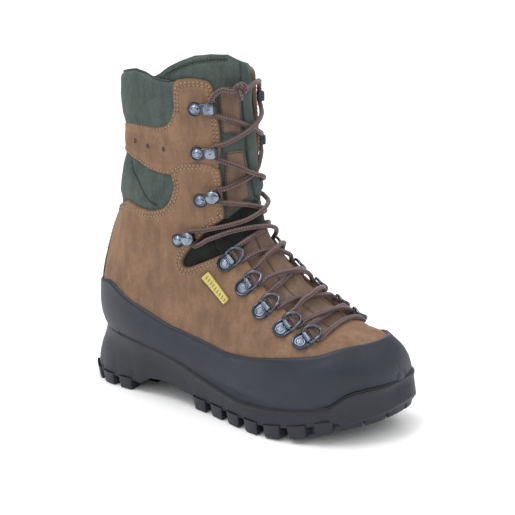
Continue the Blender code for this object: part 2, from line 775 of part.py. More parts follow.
class Fitting:
    """The frame of a loop or hook on the skin: along to its tip, out from the leather."""

    def __init__(self, side, rivet, tip):
        sign = 1 if side == "lateral" else -1
        first = skin(sign * rivet[0], rivet[1])
        last = skin(sign * tip[0], tip[1])
        angle = sign * (rivet[0] + tip[0]) / 2
        station = (rivet[1] + tip[1]) / 2
        self.origin = skin(angle, station)
        self.out = normals(np.array([station]), np.radians([angle]))[0]
        way = last - first
        way = way - self.out * (way @ self.out)
        self.along = way / np.linalg.norm(way)
        self.across = np.cross(self.out, self.along)
        rising = skin(angle, station + 0.1) - self.origin
        self.up_sign = 1 if rising @ self.across > 0 else -1
        self.matrix = frame_matrix(self.origin, self.along, self.across, self.out)

    def point(self, along, up, out):
        return (
            self.origin
            + self.along * along
            + self.across * (up * self.up_sign)
            + self.out * out
        )


def cylinder(name, radius, low, high, x, barrel_height=None, segments=10):
    """A cylinder up Z at x, or along Y when it is a barrel at a height."""
    bm = bmesh.new()
    bmesh.ops.create_cone(
        bm, cap_ends=True, segments=segments, radius1=radius * MM, radius2=radius * MM,
        depth=(high - low) * MM,
    )
    middle = (low + high) / 2
    if barrel_height is None:
        spot = Matrix.Translation(Vector((x, 0, middle)) * MM)
    else:
        spot = Matrix.Translation(Vector((x, 0, barrel_height)) * MM)
        spot = spot @ Matrix.Rotation(math.pi / 2, 4, "X")
    bmesh.ops.transform(bm, matrix=spot, verts=bm.verts)
    return finish_mesh(bm, name)


def extruded(name, outline, width, sideways):
    """A flat outline given a thickness: across Y when sideways, else up Z."""
    bm = bmesh.new()
    low, high = width
    if sideways:
        corners = [bm.verts.new(Vector((x, low, z)) * MM) for x, z in outline]
        shift = Vector((0, high - low, 0)) * MM
    else:
        corners = [bm.verts.new(Vector((x, y, low)) * MM) for x, y in outline]
        shift = Vector((0, 0, high - low)) * MM
    bm.faces.new(corners)
    grown = bmesh.ops.extrude_face_region(bm, geom=bm.faces[:])
    moved = [g for g in grown["geom"] if isinstance(g, bmesh.types.BMVert)]
    bmesh.ops.translate(bm, vec=shift, verts=moved)
    bmesh.ops.triangulate(bm, faces=bm.faces[:])
    return finish_mesh(bm, name)


def united(name, meshes):
    """The Boolean union of several meshes, as one mesh."""
    base = cutter(meshes[0], name + "_base")
    for number, mesh in enumerate(meshes[1:]):
        combine(base, cutter(mesh, f"{name}_{number}"), "UNION")
    return applied(base, name)


def round_end(x, radius, first, last, count=6):
    """Points along an arc, in degrees."""
    return [
        (x + radius * math.cos(math.radians(a)), radius * math.sin(math.radians(a)))
        for a in np.linspace(first, last, count)
    ]


def clip_mesh():
    """The riveted plate of a loop, with the barrel that its ring turns in."""
    outline = round_end(RIVET_D + 0.5, 5.4, 90, 270) + [(0.6, -3.4), (0.6, 3.4)]
    plate = extruded("clip_plate", outline, (0.4, 1.5), False)
    rivet = cylinder("clip_rivet", RIVET_RADIUS, 1.2, 2.7, RIVET_D + 0.5)
    half = BARREL_LENGTH / 2
    barrel = cylinder("clip_barrel", BARREL_RADIUS, -half, half, BARREL_D, BARREL_H, 8)
    return united("clip", [plate, rivet, barrel])


def ring_points():
    half = [
        (BARREL_D, 4.65, BARREL_H), (0.3, 4.75, 4.7), (1.6, 4.7, 5.4), (5.2, 3.4, 5.2),
        (8.6, 1.3, 3.3),
    ]
    return half + [(RING_TIP, 0, 2.6)] + [(x, -y, z) for x, y, z in reversed(half)]


def hook_mesh(domed):
    """An open hook: a riveted foot, a fold at the lacing side, and a flap back over."""
    top = 7.0
    side = [
        (RIVET_D, 0.4), (8.4, 0.4), (9.4, 1.4), (9.4, 6.0), (8.4, top), (0.6, top),
        (0.6, 5.8), (7.9, 5.8), (8.2, 5.5), (8.2, 1.9), (7.9, 1.6), (RIVET_D, 1.6),
    ]
    half = HOOK_WIDTH / 2
    parts = [
        extruded("hook_side", side, (-half, half), True),
        cylinder("hook_foot", 5.3, 0.4, 1.6, RIVET_D),
        cylinder("hook_rivet", RIVET_RADIUS, 1.2, 2.9, RIVET_D),
    ]
    if domed:
        parts.append(cylinder("hook_dome", 4.6, 5.8, 8.0, 4.6))
    return united("hook_domed" if domed else "hook_flat", parts)


def tube(name, points, radius, look, matrix=None, parent=None, closed=False, sides=1):
    """A round wire or lace through points in millimetres."""
    data = bpy.data.curves.new(name, "CURVE")
    data.dimensions = "3D"
    data.bevel_depth = radius * MM
    data.bevel_resolution = sides
    data.use_fill_caps = not closed
    line = data.splines.new("POLY")
    line.points.add(len(points) - 1)
    for spot, point in zip(line.points, points):
        spot.co = (*(np.asarray(point, float) * MM), 1.0)
    line.use_cyclic_u = closed
    made = bpy.data.objects.new(name, data)
    BOOT.objects.link(made)
    data.materials.append(material(name, look))
    if parent is not None:
        made.parent = parent
    if matrix is not None:
        made.matrix_world = matrix
    return made


def make_hardware():
    clip = clip_mesh()
    hooks = {True: hook_mesh(True), False: hook_mesh(False)}
    for side in ("lateral", "medial"):
        for number, (rivet, tip) in enumerate(LOOPS, 1):
            spot = Fitting(side, rivet, tip)
            place(clip, f"clip_{side}_{number}", STEEL, BOOT, spot.matrix)
            hinge = bpy.data.objects.new(f"ring_axis_{side}_{number}", None)
            BOOT.objects.link(hinge)
            pivot = spot.matrix @ Matrix.Translation(Vector((BARREL_D, 0, BARREL_H)) * MM)
            hinge.matrix_world = pivot
            bpy.context.view_layer.update()
            points = [(x - BARREL_D, y, z - BARREL_H) for x, y, z in ring_points()]
            tube(f"ring_{side}_{number}", points, RING_WIRE, STEEL, pivot, hinge, sides=0)
        for number, (rivet, tip) in enumerate(HOOKS, 1):
            spot = Fitting(side, rivet, tip)
            place(hooks[number <= 2], f"hook_{side}_{number}", STEEL, BOOT, spot.matrix)


# ---------------------------------------------------------------- lace

def other(side):
    return "medial" if side == "lateral" else "lateral"


def through(side, number, kind):
    """The lace's points through a loop or hook, from its lower to its upper side."""
    rivet, tip = (LOOPS if kind == "loop" else HOOKS)[number - 1]
    spot = Fitting(side, rivet, tip)
    along, out = LOOP_LACE if kind == "loop" else HOOK_LACE
    reach = LOOP_REACH if kind == "loop" else HOOK_REACH
    return [spot.point(along, up, out) for up in (-reach, -reach / 2, 0, reach / 2, reach)]


def front_grid():
    """The skin's front, as points and normals over a fine grid."""
    angles, stations = np.meshgrid(np.arange(-50, 51, 2.0), np.arange(1.8, 13.2, 0.04))
    outward = normals(stations.ravel(), np.radians(angles.ravel()))
    return skin(angles, stations).reshape(-1, 3), outward


def crossing(start, end, height):
    """Points that follow a straight pull between two places, over the tongue."""
    start, end = np.array(start), np.array(end)
    spots, outward = FRONT
    near = [outward[np.argmin(np.linalg.norm(spots - p, axis=1))] for p in (start, end)]
    way = (near[0] + near[1]) / np.linalg.norm(near[0] + near[1])
    found = []
    for part, lift in ((0.22, 0.45), (0.4, 1.0), (0.6, 1.0), (0.78, 0.45)):
        chord = start + (end - start) * part
        beside = spots - chord
        along = beside @ way
        miss = np.linalg.norm(beside - along[:, None] * way, axis=1) + np.where(along < -6, 50, 0)
        best = np.argmin(miss)
        off = EDGE_LIFT * (1 - lift) + height * lift
        found.append(spots[best] + outward[best] * off)
    return found


def smooth_route(points, spacing):
    """Points evenly along a smooth curve through the route's own points."""
    points = np.array(points, float)
    step = np.linalg.norm(np.diff(points, axis=0), axis=1)
    knots = np.concatenate([[0], np.cumsum(step)])
    fine = curve_through(knots, points, np.linspace(0, knots[-1], len(points) * 12))
    step = np.linalg.norm(np.diff(fine, axis=0), axis=1)
    along = np.concatenate([[0], np.cumsum(step)])
    even = np.linspace(0, along[-1], max(2, round(along[-1] / spacing)))
    return np.stack([np.interp(even, along, fine[:, k]) for k in range(3)], 1)


def climb(side, kind, count, height):
    """A strand that zigzags up through loops or hooks, from the first on its own side."""
    route = []
    here = side
    for number in range(1, count + 1):
        passed = through(here, number, kind)
        if route:
            route += crossing(route[-1], passed[0], height)
        route += passed
        here = other(here)
    return route, other(here)


def make_lace():
    first, _ = climb("lateral", "loop", 5, LACE_LOW)
    second, _ = climb("medial", "loop", 5, LACE_HIGH)
    bar = [skin(a, 2.14, 3.0) for a in (-24, -8, 8, 24)]
    lower = second[::-1] + bar + first
    tube("lace_lower", smooth_route(lower, LACE_SPACING), LACE_RADIUS, LACE)
    for letter, side, height in (("a", "lateral", LACE_LOW), ("b", "medial", LACE_HIGH)):
        start = through(side, 5, "loop")[-1]
        hook = Fitting(other(side), *HOOKS[0])
        end = hook.point(HOOK_LACE[0] + 0.4, -HOOK_REACH - 2.4, HOOK_LACE[1])
        route = [start] + crossing(start, end, height) + [end]
        line = smooth_route(route, LACE_SPACING)
        away = (line[1] - line[0]) / np.linalg.norm(line[1] - line[0])
        line[0] += away * 2.2
        tube(f"lace_ankle_{letter}", line, LACE_RADIUS, LACE)
        strand, last = climb(other(side), "hook", 4, height)
        sign = 1 if last == "lateral" else -1
        strand += [
            skin(KNOT_PLACE[0] + sign * 17, KNOT_PLACE[1] + 0.08, 5.0),
            skin(KNOT_PLACE[0] + sign * 12, KNOT_PLACE[1] + 0.03, 5.6),
        ]
        tube(f"lace_upper_{letter}", smooth_route(strand, LACE_SPACING), LACE_RADIUS, LACE)
    make_knot()


def make_knot():
    """The overhand knot that ties the two ends, as a closed trefoil."""
    angle, station = KNOT_PLACE
    centre = skin(angle, station, 5.0)
    out = normals(np.array([station]), np.radians([angle]))[0]
    side = np.cross(out, (0, 0, 1.0))
    side /= np.linalg.norm(side)
    up = np.cross(side, out)
    points = []
    for t in np.linspace(0, 2 * math.pi, 30, endpoint=False):
        x = (math.sin(t) + 2 * math.sin(2 * t)) * 1.6
        y = (math.cos(t) - 2 * math.cos(2 * t)) * 2.2
        z = -math.sin(3 * t) * 2.1
        points.append(centre + side * x + up * y + out * z)
    tube("lace_knot", points, LACE_RADIUS * 0.95, LACE, closed=True)


# ---------------------------------------------------------------- the boot

clear_scene()
FRONT = front_grid()
BOOT = new_collection("mountaineering_boot")
CUTTERS = new_collection("cutters", hidden=True)

make_upper()
make_lining_and_stiffeners()
make_tongue()
make_sole()
make_hardware()
make_lace()
centre_on_origin()
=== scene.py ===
"""The looks of a mountaineering boot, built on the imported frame.

Lengths are millimetres until a mesh is made.  A place on the boot's skin is (angle,
station): the station runs from the toe (0) up the front to the collar (13), and the angle
goes round from the front (0) over the lateral side (90) to the back or the sole (180).
"""

import math

import bmesh
import bpy
import numpy as np
from mathutils import Matrix, Vector
from mathutils.geometry import delaunay_2d_cdt


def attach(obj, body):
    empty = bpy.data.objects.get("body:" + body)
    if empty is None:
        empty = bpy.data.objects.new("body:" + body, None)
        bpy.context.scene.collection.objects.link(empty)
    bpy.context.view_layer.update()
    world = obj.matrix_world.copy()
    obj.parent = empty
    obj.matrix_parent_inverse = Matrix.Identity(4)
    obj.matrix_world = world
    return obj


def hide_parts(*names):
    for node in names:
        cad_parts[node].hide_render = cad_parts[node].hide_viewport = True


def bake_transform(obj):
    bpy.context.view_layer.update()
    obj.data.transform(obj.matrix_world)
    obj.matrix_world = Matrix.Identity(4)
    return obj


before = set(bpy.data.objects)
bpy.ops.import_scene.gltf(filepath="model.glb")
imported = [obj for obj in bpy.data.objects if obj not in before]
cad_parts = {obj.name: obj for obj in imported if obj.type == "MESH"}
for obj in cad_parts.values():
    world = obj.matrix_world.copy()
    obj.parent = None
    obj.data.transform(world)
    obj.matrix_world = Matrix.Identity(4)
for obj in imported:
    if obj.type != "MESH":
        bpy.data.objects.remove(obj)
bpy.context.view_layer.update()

MM = 0.001
SHIFT = np.array((5.1, 2.3, 0.0))
TOP_STATION = 14
TINY = 1e-9
# An "edge" or "groove" value this far off shows no wear and no dirt.
FAR_OFF = 50.0

# ---------------------------------------------------------------- the skin

SECTIONS = np.array((
    (0.0, 139.5, 50, 139.5, 39, 2, 2, 14, 0.50, 2.0, 2.0),
    (0.25, 137, 59, 137, 36, 17, 17, 13, 0.60, 2.2, 2.6),
    (0.6, 132, 70, 132, 33, 28, 27, 11, 0.62, 2.3, 3.0),
    (1.0, 122.5, 78, 122.5, 29, 38, 33, 8, 0.62, 2.4, 4.5),
    (2.0, 101, 85, 101, 25, 50, 41, 4, 0.62, 2.4, 6.5),
    (3.0, 76, 99, 71, 25, 54, 46, 2, 0.64, 2.3, 6.5),
    (4.0, 53, 117, 37, 25, 52, 47, 0, 0.66, 2.2, 6.0),
    (5.0, 35, 137, -2, 25, 46, 44, 0, 0.66, 2.1, 5.0),
    (6.0, 25, 154, -52, 25, 43, 42, 0, 0.62, 2.1, 4.0),
    (7.0, 21, 170, -108, 27, 44, 42, 0, 0.58, 2.1, 3.2),
    (8.0, 18, 183, -141, 52, 45, 43, 0, 0.55, 2.1, 2.6),
    (9.0, 16, 196, -142, 88, 45, 43, 0, 0.52, 2.1, 2.5),
    (10.0, 15, 210, -127, 132, 44, 43, 0, 0.50, 2.2, 2.5),
    (11.0, 14, 226, -113, 172, 43, 43, 0, 0.50, 2.3, 2.5),
    (12.0, 12, 250, -106, 222, 44, 44, 0, 0.50, 2.3, 2.5),
    (13.0, 10, 280, -104, 272, 46, 46, 0, 0.50, 2.3, 2.5),
    (14.0, 8, 308, -102, 318, 47, 47, 0, 0.50, 2.3, 2.5),
))

# The medial half of the front is rounder than the lateral half.
MEDIAL_ROUNDING = 0.77


def unit(way):
    return way / np.maximum(np.linalg.norm(way, axis=-1, keepdims=True), TINY)


def ways(path, closed):
    """The direction of travel at each point of a path, not of unit length."""
    if closed:
        return np.roll(path, -1, axis=0) - np.roll(path, 1, axis=0)
    return np.gradient(path, axis=0)


def run_along(line):
    """The length along a line of points, from 0 at the first of them."""
    return np.concatenate([[0], np.cumsum(np.linalg.norm(np.diff(line, axis=0), axis=1))])


def evenly(line, count, closed=False):
    """Points evenly along a line; a closed line ends with its first point again."""
    along = run_along(line)
    even = np.linspace(0, along[-1], count, endpoint=not closed)
    return np.stack([np.interp(even, along, column) for column in line.T], 1)


def signed_area(ring):
    """Twice the area inside a closed plan, positive where it runs anticlockwise."""
    ahead = np.roll(ring, -1, axis=0)
    return (ring[:, 0] * ahead[:, 1] - ring[:, 1] * ahead[:, 0]).sum()


def curve_through(knots, values, at):
    """A smooth curve through the values given at the knots, read at the given places."""
    knots = np.asarray(knots, float)
    values = np.asarray(values, float)
    plain = values.ndim == 1
    if plain:
        values = values[:, None]
    at = np.atleast_1d(np.asarray(at, float))
    gap = np.diff(knots)[:, None]
    slope = np.diff(values, axis=0) / gap
    tangent = np.empty_like(values)
    tangent[0], tangent[-1] = slope[0], slope[-1]
    tangent[1:-1] = (slope[:-1] * gap[1:] + slope[1:] * gap[:-1]) / (gap[:-1] + gap[1:])
    i = np.clip(np.searchsorted(knots, at, side="right") - 1, 0, len(knots) - 2)
    t = ((at - knots[i]) / (knots[i + 1] - knots[i]))[:, None]
    found = (
        (2 * t**3 - 3 * t**2 + 1) * values[i]
        + (t**3 - 2 * t**2 + t) * gap[i] * tangent[i]
        + (3 * t**2 - 2 * t**3) * values[i + 1]
        + (t**3 - t**2) * gap[i] * tangent[i + 1]
    )
    return found[:, 0] if plain else found


def section_points(station, turn):
    fx, fz, bx, bz, lateral, medial, middle, widest, front, back = curve_through(
        SECTIONS[:, 0], SECTIONS[:, 1:], station
    ).T
    cosine, sine = np.cos(turn), np.sin(turn)
    front = np.where(sine < 0, front * MEDIAL_ROUNDING, front)
    power = np.where(cosine > 0, front, back)
    radius = (np.abs(cosine) ** power + np.abs(sine) ** power) ** (-1 / power)
    span = np.where(cosine > 0, widest, 1 - widest)
    along = widest - span * radius * cosine
    width = np.where(sine > 0, lateral, medial)
    return np.stack(
        [fx + (bx - fx) * along, middle - width * radius * sine, fz + (bz - fz) * along], -1
    )


def normals(station, turn):
    step = 1e-3
    low = np.clip(station - step, 0, TOP_STATION)
    high = np.clip(station + step, 0, TOP_STATION)
    rise = section_points(high, turn) - section_points(low, turn)
    round_ = section_points(station, turn + step) - section_points(station, turn - step)
    return unit(np.cross(rise, round_))


def skin(angle, station, offset=0.0):
    """Points at a distance outside the skin, for angles in degrees; arrays or numbers."""
    angle, station, offset = np.broadcast_arrays(angle, station, offset)
    turn = np.radians(angle.astype(float).ravel())
    rows = station.astype(float).ravel()
    out = section_points(rows, turn) + normals(rows, turn) * offset.ravel()[:, None]
    return out.reshape(angle.shape + (3,))


def on_skin(path, height=0.0):
    """Points over a path of places."""
    path = np.asarray(path, float)
    return skin(path[:, 0], path[:, 1], height)


def outward(angle, station):
    return normals(np.array([float(station)]), np.radians([float(angle)]))[0]


def axes_at(angle, station):
    """Level, rising and outward directions at a place."""
    out = outward(angle, station)
    side = unit(np.cross(out, (0, 0, 1.0)))
    return side, np.cross(side, out), out


def mirrored(path):
    """The same path on the other half, run backwards."""
    return [(-a, s) for a, s in reversed(path)]


def bisect(low, high, below):
    for _ in range(40):
        middle = (low + high) / 2
        if below(middle):
            low = middle
        else:
            high = middle
    return (low + high) / 2


# ---------------------------------------------------------------- places on the skin

FLAT = np.array((0.8, 22.0))


def dense(path, step, closed=False):
    """The path with points about every step of real length."""
    points = [np.array(p, float) for p in path]
    if closed:
        points.append(points[0])
    out = []
    for a, b in zip(points, points[1:]):
        line = a + (b - a) * np.linspace(0, 1, 9)[:, None]
        spots = on_skin(line)
        count = max(1, round(run_along(spots)[-1] / step))
        out += [a + (b - a) * k / count for k in range(count)]
    if not closed:
        out.append(points[-1])
    return np.array(out)


def rounded(path, radius=6.0, closed=True, keep=()):
    """The path with its corners rounded, apart from those whose numbers are in keep."""
    spots = np.array(path, float) * FLAT
    count = len(spots)
    out = []
    for i in range(count):
        if i in keep or (not closed and i in (0, count - 1)):
            out.append(spots[i])
            continue
        before, here, after = spots[i - 1], spots[i], spots[(i + 1) % count]
        back, on = np.linalg.norm(before - here), np.linalg.norm(after - here)
        first = here + (before - here) * min(radius, back * 0.48) / back
        last = here + (after - here) * min(radius, on * 0.48) / on
        for t in (0, 0.25, 0.5, 0.75, 1):
            out.append((1 - t) ** 2 * first + 2 * t * (1 - t) * here + t * t * last)
    return np.array(out) / FLAT


def beside(path, distance, closed=False):
    """The path moved sideways over the skin: to its left in the flat plan."""
    spots = np.array(path, float)
    way = ways(spots, closed) * FLAT
    eps = 0.02
    over = (
        skin(spots[:, 0] + eps / FLAT[0], spots[:, 1])
        - skin(spots[:, 0] - eps / FLAT[0], spots[:, 1])
    ) / (2 * eps)
    high = np.clip(spots[:, 1] + eps / FLAT[1], 0, TOP_STATION)
    low = np.clip(spots[:, 1] - eps / FLAT[1], 0, TOP_STATION)
    up = (skin(spots[:, 0], high) - skin(spots[:, 0], low)) / (
        ((high - low) * FLAT[1])[:, None]
    )
    g00 = (over * over).sum(1)
    g01 = (over * up).sum(1)
    g11 = (up * up).sum(1)
    left = np.stack([-way[:, 1], way[:, 0]], 1)
    det = np.maximum(g00 * g11 - g01**2, 1e-6)
    move = np.stack(
        [(g11 * left[:, 0] - g01 * left[:, 1]) / det, (g00 * left[:, 1] - g01 * left[:, 0]) / det],
        1,
    )
    size = np.sqrt(
        g00 * move[:, 0] ** 2 + 2 * g01 * move[:, 0] * move[:, 1] + g11 * move[:, 1] ** 2
    )
    return spots + move / np.maximum(size, TINY)[:, None] * distance / FLAT


def inside_of(points, ring):
    found = np.zeros(len(points), bool)
    for a, b in zip(ring, np.roll(ring, -1, axis=0)):
        if a[1] == b[1]:
            continue
        spans = (a[1] > points[:, 1]) != (b[1] > points[:, 1])
        cross = a[0] + (points[:, 1] - a[1]) * (b[0] - a[0]) / (b[1] - a[1])
        found ^= spans & (points[:, 0] < cross)
    return found


def nearest(points, line, closed=False, spots=False):
    """Each point's distance to a line of points, or only to its spots."""
    a = np.asarray(line)
    b = a if spots else np.roll(a, -1, axis=0) if closed else a[1:]
    a = a[: len(b)]
    best = np.full(len(points), 1e9)
    side = b - a
    square = np.maximum((side * side).sum(1), TINY)
    for k in range(0, len(points), 1500):
        part = points[k : k + 1500, None, :] - a[None]
        t = np.clip((part * side).sum(2) / square, 0, 1)
        gap = part - side * t[..., None]
        best[k : k + 1500] = np.sqrt((gap * gap).sum(2)).min(1)
    return best


def ripple(points, size, seed):
    """A smooth uneven value, about -1 to 1, over points in millimetres."""
    rng = np.random.default_rng(seed)
    total = np.zeros(len(points))
    for _ in range(7):
        way = rng.normal(size=3)
        way *= 2 * math.pi / (size * rng.uniform(0.6, 1.6) * np.linalg.norm(way))
        total += np.sin(points @ way + rng.uniform(0, 6.3))
    return total / 3.2


# ---------------------------------------------------------------- meshes

def mesh_object(name, points, faces, look, attributes=None, smooth=True):
    """An object in metres from points in millimetres."""
    data = bpy.data.meshes.new(name)
    places = (np.asarray(points, float) + SHIFT) * MM
    data.from_pydata([tuple(p) for p in places], [], [tuple(int(i) for i in f) for f in faces])
    data.validate()
    for key, values in (attributes or {}).items():
        made = data.attributes.new(key, "FLOAT", "POINT")
        made.data.foreach_set("value", np.asarray(values, np.float32))
    if smooth:
        data.shade_smooth()
    data.materials.append(look)
    made = bpy.data.objects.new(name, data)
    bpy.context.scene.collection.objects.link(made)
    return made


def panel(
    name, outline, low, high, look, edge=1.0, puff=None, step=2.4, lines=(), wave=(0.0, 30, 1),
    flip=False, free=None, skirt=0.8, round_=None,
):
    """A piece of leather or cloth cut to an outline on the skin, with a rolled edge.

    low and high are its distances from the skin, puff(d, angle, station) swells it, lines
    are (path, width, depth) grooves, and free says which points of the outline are edges.
    """
    if round_ is not None:
        outline = rounded(outline, *round_)
    border = dense(outline, min(step, 2.0), True)
    ring = border * FLAT
    sign = 1 if signed_area(ring) > 0 else -1
    border_line = on_skin(border)
    spots = [border]
    for far in (edge * 0.3, edge, edge * 2.2):
        moved = beside(border, sign * far, True)
        keep = nearest(on_skin(moved), border_line, True)
        spots.append(moved[keep > far * 0.85])
    a0, s0 = border.min(0)
    a1, s1 = border.max(0)
    grid_s = np.arange(s0, s1, step / 24)
    grid_a = np.arange(a0, a1, step * 1.25)
    cells = np.array([(a, s) for s in grid_s for a in grid_a])
    # Every other row is shifted by half a cell.
    cells[:, 0] += np.arange(len(cells)) // len(grid_a) % 2 * step * 0.62
    cells = cells[inside_of(cells * FLAT, ring)]
    gap = nearest(on_skin(cells), border_line, True)
    cells = cells[gap > edge * 2.2 + step * 0.55]
    grooves = []
    for path, width, depth in lines:
        path = dense(path, 1.5)
        solid = on_skin(path)
        grooves.append((solid, width, depth))
        near = nearest(on_skin(cells), solid)
        cells = cells[near > width * 2.4]
        for far in (-2.0, -1.0, 0.0, 1.0, 2.0):
            moved = beside(path, far * width)
            spots.append(moved[inside_of(moved * FLAT, ring)])
    spots.append(cells)
    flat = np.vstack(spots) * FLAT
    found, _, tris, *_ = delaunay_2d_cdt(
        [Vector(p) for p in flat], [], [list(range(len(border)))], 1, 1e-5
    )
    plan = np.array([tuple(p) for p in found]) / FLAT
    solid = on_skin(plan)
    edges = border if free is None else border[[bool(free(a, s)) for a, s in border]]
    if len(edges) < 2:
        distance = np.full(len(solid), FAR_OFF)
    elif free is None:
        distance = nearest(solid, on_skin(edges), True)
    else:
        # The free edges come in runs, and no line may join one run to the next.
        distance = nearest(solid, on_skin(edges), spots=True)
        line = np.minimum(distance, nearest(solid, on_skin(edges)))
        distance = np.where(distance < 1.3, line, distance)
    t = np.minimum(distance / edge, 1)
    height = low + (high - low) * (0.4 + 0.6 * np.sqrt(np.maximum(1 - (1 - t) ** 2, 0)))
    if puff is not None:
        height = height + puff(distance, plan[:, 0], plan[:, 1])
    amount, size, seed = wave
    if amount:
        height = height + amount * ripple(solid, size, seed) * (1 - np.exp(-distance / 7))
    groove = np.full(len(solid), FAR_OFF)
    for line, width, depth in grooves:
        far = nearest(solid, line)
        height = height - depth * np.exp(-((far / width) ** 2))
        groove = np.minimum(groove, far)
    points = on_skin(plan, height)
    pairs = dict.fromkeys(p for face in tris for p in zip(face, (*face[1:], face[0])))
    rim = [(i, j) for i, j in pairs if (j, i) not in pairs]
    loop = sorted({i for pair in rim for i in pair})
    place = {v: len(points) + k for k, v in enumerate(loop)}
    under = on_skin(plan[loop], high + skirt if flip else low - skirt)
    faces = [tuple(f) for f in tris]
    faces += [(j, i, place[i], place[j]) for i, j in rim]
    points = np.vstack([points, under])
    sample = faces[len(tris) // 2][:3]
    p, q, r = (points[k] for k in sample)
    facing = np.cross(q - p, r - p) @ outward(*plan[sample[0]])
    if (facing < 0) != flip:
        faces = [f[::-1] for f in faces]
    more = {
        "edge": np.concatenate([distance, np.zeros(len(loop))]),
        "groove": np.concatenate([groove, np.full(len(loop), FAR_OFF)]),
    }
    return mesh_object(name, points, faces, look, more)


def grid_faces(rows, columns, wrap=False):
    faces = []
    for r in range(rows - 1):
        for c in range(columns if wrap else columns - 1):
            d = (c + 1) % columns
            a = r * columns
            faces.append((a + c, a + d, a + columns + d, a + columns + c))
    return faces


def end_faces(rows, columns):
    """The faces that close the first and the last ring of a grid."""
    last = (rows - 1) * columns
    return [tuple(range(columns))[::-1], tuple(range(last, last + columns))]


def turned_over(faces):
    return [f[::-1] for f in faces]


def sweep(path, radius, sides, flat=1.0, braid=0.0, closed=False, hint=(0.3, 0.2, 1.0)):
    """Points, faces, place along and place round of a tube along a path."""
    path = np.asarray(path, float)
    count = len(path)
    way = unit(ways(path, closed))
    first = [unit(np.cross(way[0], hint))]
    for k in range(1, count):
        first.append(unit(first[-1] - way[k] * (first[-1] @ way[k])))
    first = np.array(first)
    second = np.cross(way, first)
    along = run_along(path)
    if closed:
        # The frame's turn over the loop is spread, so that the ends meet.
        last = first[-1] - way[0] * (first[-1] @ way[0])
        twist = math.atan2(last @ second[0], last @ first[0])
        turn = -twist * along / (2 * along[-1] - along[-2])
        cosine, sine = np.cos(turn)[:, None], np.sin(turn)[:, None]
        first, second = first * cosine + second * sine, second * cosine - first * sine
    phi = np.linspace(0, 2 * math.pi, sides, endpoint=False)
    a, p = np.meshgrid(along, phi, indexing="ij")
    size = radius * (1 + braid * np.maximum(np.sin(4 * p + a * 1.7), np.sin(-4 * p + a * 1.7)))
    points = (
        path[:, None]
        + first[:, None] * (size * np.cos(p))[..., None]
        + second[:, None] * (size * flat * np.sin(p))[..., None]
    ).reshape(-1, 3)
    faces = grid_faces(count, sides, True)
    if closed:
        base = (count - 1) * sides
        for c in range(sides):
            d = (c + 1) % sides
            faces.append((base + c, base + d, d, c))
    else:
        faces += end_faces(count, sides)
    return points, turned_over(faces), a.ravel(), p.ravel()


def gathered(parts):
    """Several (points, faces) as one."""
    points, faces, start = [], [], 0
    for some, more in parts:
        points.append(np.asarray(some, float))
        faces += [tuple(i + start for i in f) for f in more]
        start += len(some)
    return np.vstack(points), faces


def lathe(profile, segments=28, x=0.0):
    """A turned shape about Z from (radius, height) places, from its foot to its crown."""
    turn = np.linspace(0, 2 * math.pi, segments, endpoint=False)
    points = [(x + r * math.cos(t), r * math.sin(t), z) for r, z in profile for t in turn]
    count = len(profile)
    return np.array(points), grid_faces(count, segments, True) + end_faces(count, segments)


def slab(outline, low, high, bevel=0.35):
    """A flat plate with bevelled edges, from its (x, y) outline."""
    outline = np.array(outline, float)
    if signed_area(outline) < 0:
        outline = outline[::-1]
    way = unit(ways(outline, True))
    inward = np.stack([-way[:, 1], way[:, 0]], 1)
    rows = []
    for drawn, z in (
        (bevel, low), (0, low + bevel), (0, high - bevel), (bevel * 0.3, high - bevel * 0.3),
        (bevel, high),
    ):
        spots = outline + inward * drawn
        rows.append(np.column_stack([spots, np.full(len(spots), z)]))
    count = len(outline)
    return np.vstack(rows), grid_faces(len(rows), count, True) + end_faces(len(rows), count)


# ---------------------------------------------------------------- materials

